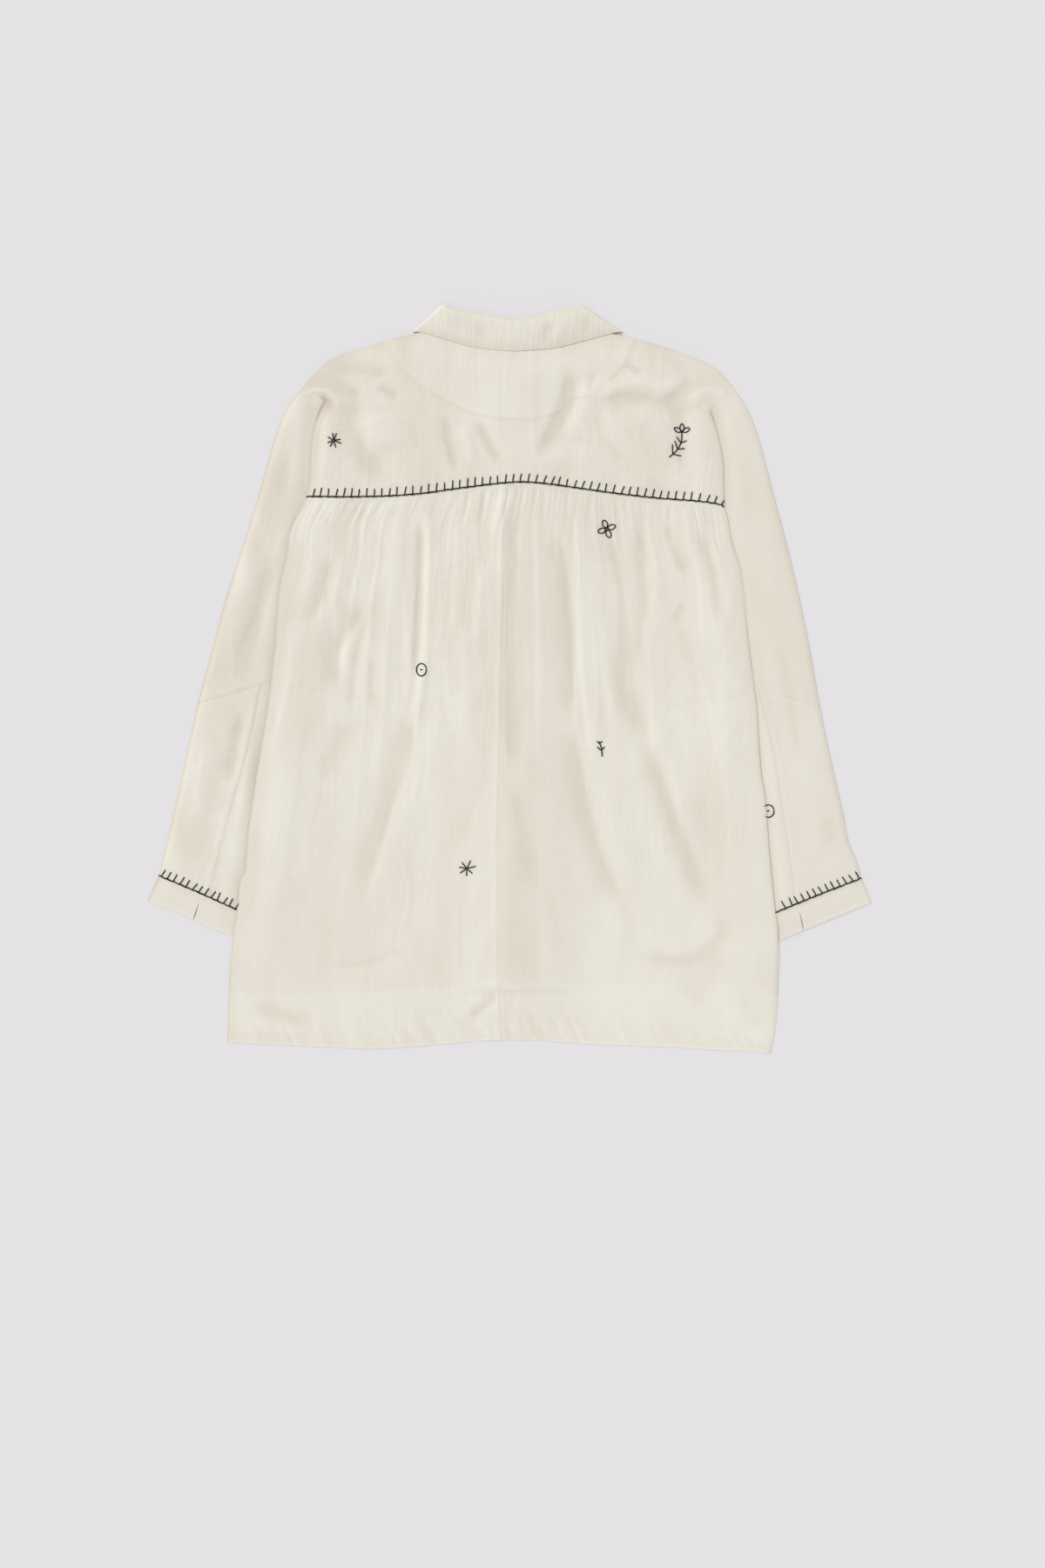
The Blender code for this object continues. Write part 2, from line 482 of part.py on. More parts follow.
def make_front(side):
    """Half of the front, cut in one from shoulder to hem, with its button band."""
    if side == "left":
        sign, cut, armhole, edge = -1, SHOULDER_CUT_LEFT, ARMHOLE_LEFT, smooth_path(SIDE_LEFT)
        shoulder, neck, hem = SHOULDER_LEFT, FRONT_NECK_LEFT, smooth_path(FRONT_HEM_LEFT)
    else:
        sign, cut, armhole, edge = 1, SHOULDER_CUT_RIGHT, ARMHOLE_RIGHT, smooth_path(SIDE_RIGHT)
        shoulder, neck, hem = SHOULDER_RIGHT, FRONT_NECK_RIGHT, smooth_path(FRONT_HEM_RIGHT)
    shoulder, neck = smooth_path(shoulder), smooth_path(neck)
    band_x = CENTRE_X + sign * PLACKET_FLAT
    free_edge_x = CENTRE_X - sign * PLACKET_WIDTH / 2
    neck_end = neck[(band_x - neck[:, 0]) * sign < 0]
    corner = np.array([[band_x, level_at(neck, band_x)]])
    hem_end = hem[(band_x - hem[:, 0]) * sign < 0]
    foot = np.array([[band_x, level_at(hem, band_x)]])
    edge = edge[edge[:, 1] > hem[0, 1]]
    cut, below = smooth_path(cut), np.vstack([smooth_path(armhole), edge[1:], hem[:1]])
    neck_end, hem_end = np.vstack([neck_end, corner]), np.vstack([hem_end, foot])
    down = corner_shares(cut, below, 2, 15)
    plan = patch(np.vstack([shoulder, neck_end]), hem_end, np.vstack([cut[:-1], below]),
                 np.vstack([corner, foot]), corner_shares(shoulder, neck_end, 8, 7), down)
    band = np.linspace(band_x, free_edge_x, BAND_COLUMNS + 1)[1:]
    rows = corner[0, 1] + (foot[0, 1] - corner[0, 1]) * down
    columns = np.stack(np.meshgrid(band, rows), axis=2)
    plan = np.concatenate([plan, columns], axis=1)
    heights = front_height(plan[..., 0], plan[..., 1], side)
    cloth("front_" + side, with_height(plan, heights), silk)


def make_facing():
    """The half-moon facing inside the back neck, which shows through the yoke."""
    neck = smooth_path(BACK_NECK)
    left = [FACING_EDGE[0], (-0.110, 0.371), BACK_NECK[0]]
    right = [BACK_NECK[-1], (0.120, 0.371), FACING_EDGE[-1]]
    lower = smooth_path(FACING_EDGE)
    inset = 0.0012
    sides = smooth_path(left)[:-1], smooth_path(right)[1:]
    top = shifted(np.vstack([sides[0], neck, sides[1]]), dy=-inset)
    start, end = shifted(np.array([left[0]]), dy=-inset), shifted(np.array([right[-1]]), dy=-inset)
    plan = patch(top, np.vstack([start, lower[1:-1], end]), np.vstack([start, start + 1e-9]),
                 np.vstack([end, end + 1e-9]), even(18), even(5))[:, 1:-1]
    x, y = plan[..., 0], plan[..., 1]
    cloth("neck_facing", with_height(plan, under_back(x, y)), silk_shade)


def sleeve_rows(table, first, last, steps):
    """Sections between two rows of a sleeve's table, smoothly interpolated."""
    line = smooth_path(table, 24)
    per_row = (len(line) - 1) // (len(table) - 1)
    at = np.linspace(first * per_row, last * per_row, steps + 1)
    return np.stack([np.interp(at, np.arange(len(line)), line[:, k]) for k in range(line.shape[1])], axis=1)


def sleeve_top(points, width, w):
    """The upper layer's height across a sleeve: low where the body covers it, full at the outer fold."""
    open_part = smoothstep(*OPEN_SLEEVE_RISE, width - w - HIDDEN_WIDTH)
    fold = smoothstep(OUTER_FOLD_WIDTH, 0.0, w)
    rise = (SLEEVE_OUTER_TOP - SLEEVE_INNER_TOP) * fold + SLEEVE_PUFF * (1 - fold)
    creases = fold_heights(points[..., 0], points[..., 1], SLEEVE_FOLDS)
    return SLEEVE_INNER_TOP + open_part * np.maximum(rise + creases, 0.0)


def arc(centre_w, centre_z, reach, half_height, start, end, steps):
    """Points of a half-round fold, its own ends left out."""
    turns = np.radians(np.linspace(start, end, steps + 2)[1:-1])
    return [(centre_w + reach * math.cos(t), centre_z + half_height * math.sin(t)) for t in turns]


def ring_section(row, part):
    """One section of a sleeve, as (distance from the outer fold, height) pairs.

    part is "whole" for a closed ring, "sleeve" for all but the under-sleeve panel, "strip" for that.
    """
    outer, inner, strip = row[OUTER], row[INNER], row[STRIP]
    width = float(np.linalg.norm(inner - outer))
    at = lambda w: outer + (inner - outer) * (np.asarray(w)[..., None] / width)
    height = lambda w: sleeve_top(at(w), width, np.asarray(w))
    inner_radius = (SLEEVE_INNER_TOP - ON_FLOOR) / 2
    outer_top = float(height(OUTER_FOLD_INSET))
    outer_radius = (outer_top - ON_FLOOR) / 2
    half_gap = SEAM_GAP / 2
    top_w = np.linspace(width - strip - half_gap, OUTER_FOLD_INSET, 7)
    strip_w = np.linspace(width - inner_radius, width - strip + half_gap, 4)
    bottom_w = np.linspace(OUTER_FOLD_INSET, width - UNDER_SEAM - half_gap, 4)
    under_w = np.linspace(width - UNDER_SEAM + half_gap, width - inner_radius, 2)
    top = list(zip(top_w, height(top_w)))
    outer_centre = ON_FLOOR + outer_radius
    outer_fold = arc(OUTER_FOLD_INSET, outer_centre, -OUTER_FOLD_INSET, outer_radius, 90, -90, 3)
    bottom = [(w, ON_FLOOR) for w in bottom_w]
    under = [(w, ON_FLOOR) for w in under_w]
    inner_fold = arc(width - inner_radius, ON_FLOOR + inner_radius, inner_radius, inner_radius, -90, 90, 2)
    inner_top = list(zip(strip_w, height(strip_w)))
    pieces = {"whole": top[1:] + outer_fold + bottom + under[1:] + inner_fold + inner_top,
              "sleeve": top + outer_fold + bottom,
              "strip": under + inner_fold + inner_top}
    return [(*at(w), z) for w, z in pieces[part]]


def moved_along(section, toward, distance):
    """A section moved a small way towards another one, to leave a seam's gap."""
    section, toward = np.asarray(section), np.asarray(toward)
    step = (toward - section)[:, :2].mean(axis=0)
    section[:, :2] += step / np.linalg.norm(step) * distance
    return section


def make_sleeve(side, table):
    """Upper sleeve as a flat tube to the elbow seam, then lower sleeve and under-sleeve panel."""
    table = np.array(table)
    upper = [ring_section(row, "whole") for row in sleeve_rows(table, 0, ELBOW_ROW, 12)]
    upper[0] = moved_along(upper[0], upper[1], SEAM_GAP)
    upper[-1] = moved_along(upper[-1], upper[-2], SEAM_GAP / 2)
    cloth("upper_sleeve_" + side, upper, silk, closed=True)
    lower_rows = sleeve_rows(table, ELBOW_ROW, len(table) - 1, 8)
    for name, part in (("lower_sleeve_", "sleeve"), ("under_sleeve_", "strip")):
        sections = [ring_section(row, part) for row in lower_rows]
        sections[0] = moved_along(sections[0], sections[1], SEAM_GAP / 2)
        sections[-1] = moved_along(sections[-1], sections[-2], SEAM_GAP / 2)
        cloth(name + side, sections, silk)


def cuff_section(outer, inner, slit_share):
    """A closed ring of the cuff, with a narrow column on the upper layer for its slit."""
    width = float(np.linalg.norm(inner - outer))
    at = lambda w: outer + (inner - outer) * (w / width)
    top_z, lower_z = SLEEVE_INNER_TOP + CUFF_TOP_RAISE, COLLAR_WALL / 2
    radius = (top_z - lower_z) / 2
    slit = width * slit_share
    top_w = [width - radius, (width + slit) / 2, slit + CUFF_SLIT_WIDTH / 2, slit - CUFF_SLIT_WIDTH / 2,
             slit / 2, radius]
    bottom_w = np.linspace(radius, width - radius, 5)
    ring = [(w, top_z) for w in top_w]
    ring += arc(radius, lower_z + radius, -radius, radius, 90, -90, 2)
    ring += [(w, lower_z) for w in bottom_w]
    ring += arc(width - radius, lower_z + radius, radius, radius, -90, 90, 2)
    return [(*at(w), z) for w, z in ring]


def make_cuff(side, seam_row, edge, slit_share):
    """The cuff, open at its slit for the lower part of its depth."""
    seam_row, edge = np.array(seam_row), np.array(edge)
    sections = []
    for share in CUFF_DEPTHS:
        outer = seam_row[OUTER] + (edge[OUTER] - seam_row[OUTER]) * share
        inner = seam_row[INNER] + (edge[INNER] - seam_row[INNER]) * share
        sections.append(cuff_section(outer, inner, slit_share))
    sections[0] = moved_along(sections[0], sections[1], SEAM_GAP / 2)
    slit_column = 2
    open_rows = range(FIRST_SLIT_ROW, len(CUFF_DEPTHS) - 1)
    cloth("cuff_" + side, sections, silk, COLLAR_WALL, closed=True,
          left_out=[(row, slit_column) for row in open_rows])


def collar_side(side):
    """Stations of one half of the collar, from the centre back round the side to the front.

    Each station is (neck edge, roll line, leaf edge, direction from stand to leaf, roll radius).
    """
    sign = -1 if side == "left" else 1
    roll_back = smooth_path(ROLL_BACK_LEFT if side == "left" else ROLL_BACK_RIGHT)
    roll_front = smooth_path(ROLL_FRONT_LEFT if side == "left" else ROLL_FRONT_RIGHT)
    leaf_back = smooth_path(LEAF_BACK_LEFT if side == "left" else LEAF_BACK_RIGHT)
    leaf_front = smooth_path(LEAF_FRONT_LEFT if side == "left" else LEAF_FRONT_RIGHT)
    neck = smooth_path(BACK_NECK)
    middle = int(np.argmin(np.abs(neck[:, 0] - 0.005)))
    neck_back = neck[middle::-1] if side == "left" else neck[middle:]
    neck_front = smooth_path(FRONT_NECK_LEFT if side == "left" else FRONT_NECK_RIGHT)
    turns = np.radians(np.linspace(90, -90, COLLAR_TURN_STEPS + 2)[1:-1])
    shares_back, shares_front = even(COLLAR_BACK_STEPS), even(COLLAR_FRONT_STEPS)

    def lines(back, front, z_back, z_front):
        """One 3-D line: along the back, round the side fold, along the front."""
        first, last = points_at(back, shares_back), points_at(front, shares_front)
        zb, zf = z_back(first[:, 0], first[:, 1]), z_front(last[:, 0], last[:, 1])
        centre, half = (zb[-1] + zf[0]) / 2, (zb[-1] - zf[0]) / 2
        end_x, end_y = first[-1]
        bend = [(end_x + sign * half * math.cos(t), end_y, centre + half * math.sin(t)) for t in turns]
        return np.vstack([np.column_stack([first, zb]), bend, np.column_stack([last, zf])])

    def level(value):
        return lambda x, y: np.full(len(x), value)

    roll_z = float(back_height(np.array([0.005]), np.array([0.362]), 0.0)[0]) + ROLL_RADIUS_BACK
    leaf_z = lambda x, y: back_height(x, y, fold_heights(x, y, YOKE_FOLDS)) + STACK + 0.0003
    neck_z = lambda x, y: back_height(x, y, 0.0)
    front_z = lambda x, y: front_height(x, y, side)
    neck_line = lines(neck_back, neck_front, neck_z, front_z)
    roll_line = lines(roll_back, roll_front, level(roll_z), level(ROLL_HEIGHT_FRONT))
    leaf_line = lines(leaf_back, leaf_front, leaf_z, level(LEAF_HEIGHT_FRONT))
    angles = np.concatenate([np.full(COLLAR_BACK_STEPS + 1, math.pi / 2), turns,
                             np.full(COLLAR_FRONT_STEPS + 1, -math.pi / 2)])
    away = np.stack([sign * np.cos(angles), np.zeros(len(angles)), np.sin(angles)], axis=1)
    ease = (1 - np.sin(angles)) / 2
    radius = ROLL_RADIUS_BACK * (1 - ease) + ROLL_RADIUS_FRONT * ease
    return neck_line, roll_line, leaf_line, away, radius


def collar_lines():
    """Both halves of the collar as one run of stations, from the left front to the right front."""
    left, right = collar_side("left"), collar_side("right")
    return [np.concatenate([a[:0:-1], b]) for a, b in zip(left, right)]


def make_collar():
    """The stand, from the neck seam to the roll line, and the leaf, over the roll to its edge."""
    neck, roll, leaf, away, radius = collar_lines()
    radius = radius[:, None]
    up = roll - leaf
    up[:, 2] = 0.0
    up /= np.linalg.norm(up, axis=1)[:, None]
    stand_up = roll - neck
    stand_up /= np.linalg.norm(stand_up, axis=1)[:, None]
    inner_top = roll - radius * away
    stand_low = neck + stand_up * STAND_SEAM
    stand_high = inner_top - (up + stand_up) / 2 * STAND_SEAM
    stand = [stand_low, stand_low + (stand_high - stand_low) * 0.5, stand_high]
    cloth("collar_stand", np.stack(stand), silk_shade, COLLAR_WALL)
    outer_top = roll + radius * away
    bend = [roll + radius * (up * math.sin(a) - away * math.cos(a)) for a in np.radians((45, 90, 135))]
    fall = [outer_top + (leaf - outer_top) * share for share in (0.0, 0.35, 0.7, 1.0)]
    cloth("collar_leaf", np.stack([inner_top, *bend, *fall]), silk, COLLAR_WALL)


def make_button(number):
    """A dished disc, turned from its half profile, that lies face down under the placket."""
    rim, dish = BUTTON_RADIUS, BUTTON_RADIUS * 0.62
    profile = [(0.0, BUTTON_THICKNESS), (rim * 0.9, BUTTON_THICKNESS), (rim, BUTTON_THICKNESS * 0.6),
               (rim * 0.93, 0.0), (dish, 0.0), (dish * 0.85, BUTTON_THICKNESS * 0.28),
               (0.0, BUTTON_THICKNESS * 0.28)]
    mesh = bpy.data.meshes.new("button")
    mesh.from_pydata([(r, 0.0, z) for r, z in profile], [(i, i + 1) for i in range(len(profile) - 1)], [])
    mesh.materials.append(shell)
    obj = bpy.data.objects.new(f"button_{number + 1}", mesh)
    obj.location = (CENTRE_X, BUTTON_TOP_Y - number * BUTTON_PITCH, 0.0)
    shirt.objects.link(obj)
    turn = obj.modifiers.new("turn", "SCREW")
    turn.steps = turn.render_steps = 10
    turn.use_merge_vertices = True
    turn.merge_threshold = 0.00005
    turn.use_smooth_shade = True
    return obj


for old in list(bpy.data.objects):
    bpy.data.objects.remove(old)
shirt = bpy.data.collections.new("silk_shirt")
bpy.context.scene.collection.children.link(shirt)
silk = material("silk", SILK, 0.42, 0.25)
silk_shade = material("silk_inside", SILK_SHADE, 0.5, 0.2)
shell = material("button_shell", SHELL, 0.25)

make_yoke()
make_facing()
for half in ("left", "right"):
    make_back(half)
    make_front(half)
make_sleeve("left", SLEEVE_LEFT)
make_sleeve("right", SLEEVE_RIGHT)
make_cuff("left", SLEEVE_LEFT[-1], CUFF_EDGE_LEFT, CUFF_SLIT_LEFT)
make_cuff("right", SLEEVE_RIGHT[-1], CUFF_EDGE_RIGHT, CUFF_SLIT_RIGHT)
make_collar()
for count in range(BUTTON_COUNT):
    make_button(count)
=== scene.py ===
"""Cream silk shirt, laid flat on its front, dressed in fine cloth, seams and hand stitching."""

import math

import bpy
import numpy as np
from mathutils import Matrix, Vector
from mathutils.bvhtree import BVHTree


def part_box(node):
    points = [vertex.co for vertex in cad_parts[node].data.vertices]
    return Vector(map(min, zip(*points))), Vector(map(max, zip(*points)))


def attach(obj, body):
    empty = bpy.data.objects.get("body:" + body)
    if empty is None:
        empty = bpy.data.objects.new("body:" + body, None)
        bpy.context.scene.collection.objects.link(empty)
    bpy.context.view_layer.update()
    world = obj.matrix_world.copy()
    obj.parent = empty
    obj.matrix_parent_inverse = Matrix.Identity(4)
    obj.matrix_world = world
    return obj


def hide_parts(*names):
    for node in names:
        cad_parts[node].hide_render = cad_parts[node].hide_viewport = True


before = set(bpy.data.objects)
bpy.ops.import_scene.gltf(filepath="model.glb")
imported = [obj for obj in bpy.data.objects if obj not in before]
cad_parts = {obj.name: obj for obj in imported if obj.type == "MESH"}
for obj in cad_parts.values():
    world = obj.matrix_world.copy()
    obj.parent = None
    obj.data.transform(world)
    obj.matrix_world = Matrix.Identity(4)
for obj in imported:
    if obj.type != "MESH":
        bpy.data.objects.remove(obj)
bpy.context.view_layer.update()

# Cloth, in metres. Heights are those of the middle of the cloth.
SILK = 0.0003
DOUBLE = 0.0006
LAYER = 0.0005
ON_FLOOR = 0.0003
SLEEVE_UNDER_BODY = 0.0015
SLEEVE_RISE = 0.0016
OUTER_FOLD_RISE = 0.0009
OUTER_FOLD_PRESS = 0.0012
BODY_OVER_SLEEVE = 0.0019
ARMHOLE_STEP = 0.0007
BODY_PUFF = 0.0020
FINE_STEP = 0.0023
COARSE_STEP = 0.0042

# The button band, from the two fronts' free edges
BAND_LOW_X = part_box("front_right")[0].x
BAND_HIGH_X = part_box("front_left")[1].x
CENTRE_X = (BAND_LOW_X + BAND_HIGH_X) / 2
PLACKET_FLAT = (BAND_HIGH_X - BAND_LOW_X) / 2 + 0.005
PLACKET_LIFT = 0.0021

# Edges and seams of the back, as they lie
SHOULDER_CUT_LEFT = [(-0.221, 0.324), (-0.2015, 0.304)]
SHOULDER_CUT_RIGHT = [(0.240, 0.3235), (0.2185, 0.293)]
ARMHOLE_LEFT = [(-0.2015, 0.304), (-0.207, 0.2925), (-0.213, 0.273), (-0.2165, 0.252), (-0.2175, 0.222),
                (-0.2215, 0.1995)]
ARMHOLE_RIGHT = [(0.2185, 0.293), (0.2235, 0.279), (0.229, 0.2594), (0.2328, 0.2356), (0.2335, 0.210),
                 (0.2340, 0.189)]
SIDE_LEFT = [(-0.2215, 0.1990), (-0.227, 0.186), (-0.2355, 0.171), (-0.2402, 0.155), (-0.243, 0.133),
             (-0.2515, 0.095), (-0.2555, 0.038), (-0.2584, 0.017), (-0.2612, -0.014), (-0.2679, -0.057),
             (-0.2745, -0.096), (-0.2783, -0.1216), (-0.285, -0.167), (-0.2888, -0.209),
             (-0.2935, -0.2195), (-0.2973, -0.2527), (-0.3030, -0.2926),
             (-0.3068, -0.3515), (-0.3078, -0.396)]
SIDE_RIGHT = [(0.2340, 0.1885), (0.2385, 0.172), (0.2423, 0.150), (0.2527, 0.115), (0.2608, 0.038),
              (0.2655, 0.0038), (0.2698, -0.0314), (0.2717, -0.0656), (0.2746, -0.1036), (0.2793, -0.132),
              (0.2835, -0.190), (0.2898, -0.2527), (0.2926, -0.2746), (0.2926, -0.3515), (0.2888, -0.3895),
              (0.2850, -0.4085)]
YOKE_SEAM = [(-0.2215, 0.1995), (-0.177, 0.1983), (-0.132, 0.1993), (-0.095, 0.2020), (-0.0665, 0.2060),
             (-0.038, 0.2098), (-0.0095, 0.2130), (0.015, 0.2144), (0.0456, 0.2119), (0.080, 0.2071),
             (0.114, 0.2024), (0.1606, 0.1971), (0.206, 0.1936), (0.2340, 0.1890)]
CENTRE_SEAM = [(-0.0048, 0.2138), (-0.0068, 0.100), (-0.0095, -0.020), (-0.0125, -0.150), (-0.0125, -0.290),
               (-0.0095, -0.393)]
HEM = [(-0.3078, -0.396), (-0.250, -0.3985), (-0.2215, -0.3998), (-0.165, -0.4022), (-0.136, -0.4022),
       (-0.079, -0.398), (-0.022, -0.3935), (0.035, -0.3935), (0.064, -0.396), (0.121, -0.399),
       (0.178, -0.401), (0.235, -0.4045), (0.263, -0.4055), (0.2850, -0.4085)]
SHOULDER_LEFT = [(-0.221, 0.324), (-0.2145, 0.332), (-0.2071, 0.339), (-0.1967, 0.3477), (-0.1805, 0.3553),
                 (-0.152, 0.363), (-0.130, 0.3705), (-0.094, 0.379)]
SHOULDER_RIGHT = [(0.240, 0.3235), (0.232, 0.332), (0.2233, 0.3401), (0.2081, 0.3477), (0.1891, 0.3553),
                  (0.1672, 0.363), (0.1387, 0.3705), (0.106, 0.378)]
BACK_NECK = [(-0.094, 0.379), (-0.060, 0.3705), (-0.020, 0.3635), (0.005, 0.362), (0.035, 0.3635),
             (0.072, 0.3705), (0.106, 0.378)]
FRONT_NECK_LEFT = [(-0.094, 0.379), (-0.084, 0.346), (-0.062, 0.315), (-0.034, 0.297), (-0.005, 0.291)]
FRONT_NECK_RIGHT = [(0.106, 0.378), (0.094, 0.346), (0.072, 0.315), (0.046, 0.297), (0.024, 0.291)]
FACING_EDGE = [(-0.130, 0.3625), (-0.1273, 0.3553), (-0.1017, 0.3249), (-0.0656, 0.3030), (-0.0304, 0.2888),
               (0.0162, 0.2840), (0.0532, 0.2917), (0.0640, 0.3050), (0.0893, 0.3116), (0.1169, 0.3354),
               (0.1292, 0.3534), (0.1315, 0.3640)]
FRONT_HEM = [(-0.3030, -0.322), (-0.296, -0.3340), (-0.2834, -0.3440), (-0.204, -0.3430), (-0.1470, -0.3405),
             (-0.0586, -0.3360), (0.030, -0.3325), (0.144, -0.3340), (0.2517, -0.3325), (0.2834, -0.3420),
             (0.2926, -0.3450)]

# Sleeves, a row for each section: both ends of the section, then the under-sleeve panel's width
SLEEVE_LEFT = [
    (-0.2212, 0.3240, -0.1975, 0.3000, 0.004),
    (-0.2365, 0.3060, -0.2005, 0.2860, 0.005),
    (-0.2470, 0.2880, -0.2020, 0.2735, 0.008),
    (-0.2570, 0.2620, -0.2030, 0.2530, 0.014),
    (-0.2730, 0.2050, -0.2060, 0.1960, 0.020),
    (-0.2925, 0.1425, -0.2290, 0.1330, 0.024),
    (-0.3105, 0.0855, -0.2365, 0.0780, 0.026),
    (-0.3258, 0.0285, -0.2400, 0.0300, 0.028),
    (-0.3405, -0.0265, -0.2440, 0.0020, 0.029),
    (-0.3535, -0.0855, -0.2555, -0.0700, 0.030),
    (-0.3662, -0.1425, -0.2685, -0.1500, 0.037),
    (-0.3829, -0.2137, -0.2850, -0.2565, 0.046),
]
SLEEVE_RIGHT = [
    (0.2402, 0.3235, 0.2155, 0.2890, 0.004),
    (0.2540, 0.3050, 0.2175, 0.2755, 0.005),
    (0.2640, 0.2850, 0.2185, 0.2640, 0.008),
    (0.2740, 0.2565, 0.2185, 0.2450, 0.013),
    (0.2888, 0.2000, 0.2200, 0.1930, 0.016),
    (0.3040, 0.1425, 0.2300, 0.1330, 0.018),
    (0.3173, 0.0855, 0.2380, 0.0780, 0.019),
    (0.3287, 0.0285, 0.2460, 0.0300, 0.020),
    (0.3392, -0.0310, 0.2505, -0.0020, 0.022),
    (0.3505, -0.0855, 0.2580, -0.0710, 0.030),
    (0.3640, -0.1450, 0.2660, -0.1500, 0.033),
    (0.3700, -0.1760, 0.2710, -0.1960, 0.035),
    (0.3798, -0.2000, 0.2745, -0.2300, 0.036),
    (0.3838, -0.2165, 0.2775, -0.2590, 0.036),
]
ELBOW_ROW = 8
CUFF_EDGE_LEFT = (-0.3952, -0.2404, -0.2907, -0.2857)
CUFF_EDGE_RIGHT = (0.3952, -0.2430, 0.2820, -0.2900)
CUFF_SLIT_LEFT = 0.485
CUFF_SLIT_RIGHT = 0.655
HIDDEN_WIDTH = 0.015

# Curved seams of the fronts, which show through the back
FRONT_SEAMS = [
    [(0.264, -0.018), (0.220, -0.019), (0.188, -0.027), (0.157, -0.041), (0.138, -0.057), (0.119, -0.076),
     (0.100, -0.098)],
    [(-0.255, -0.006), (-0.204, -0.013), (-0.160, -0.023), (-0.128, -0.041), (-0.109, -0.054),
     (-0.071, -0.085)],
]

# The yoke laps a little over the sleeve at the shoulder cut
YOKE_LAP_LEFT = [(-0.2230, 0.3215), (-0.2130, 0.3125), (-0.2020, 0.3030), (-0.2038, 0.2990), (-0.207, 0.2925)]
YOKE_LAP_RIGHT = [(0.2420, 0.3210), (0.2310, 0.3075), (0.2190, 0.2920), (0.2207, 0.2865), (0.2235, 0.279)]
LAP_DROP = 0.00004
SEAM_LAP = 0.0010
ELBOW_LAP = 0.02

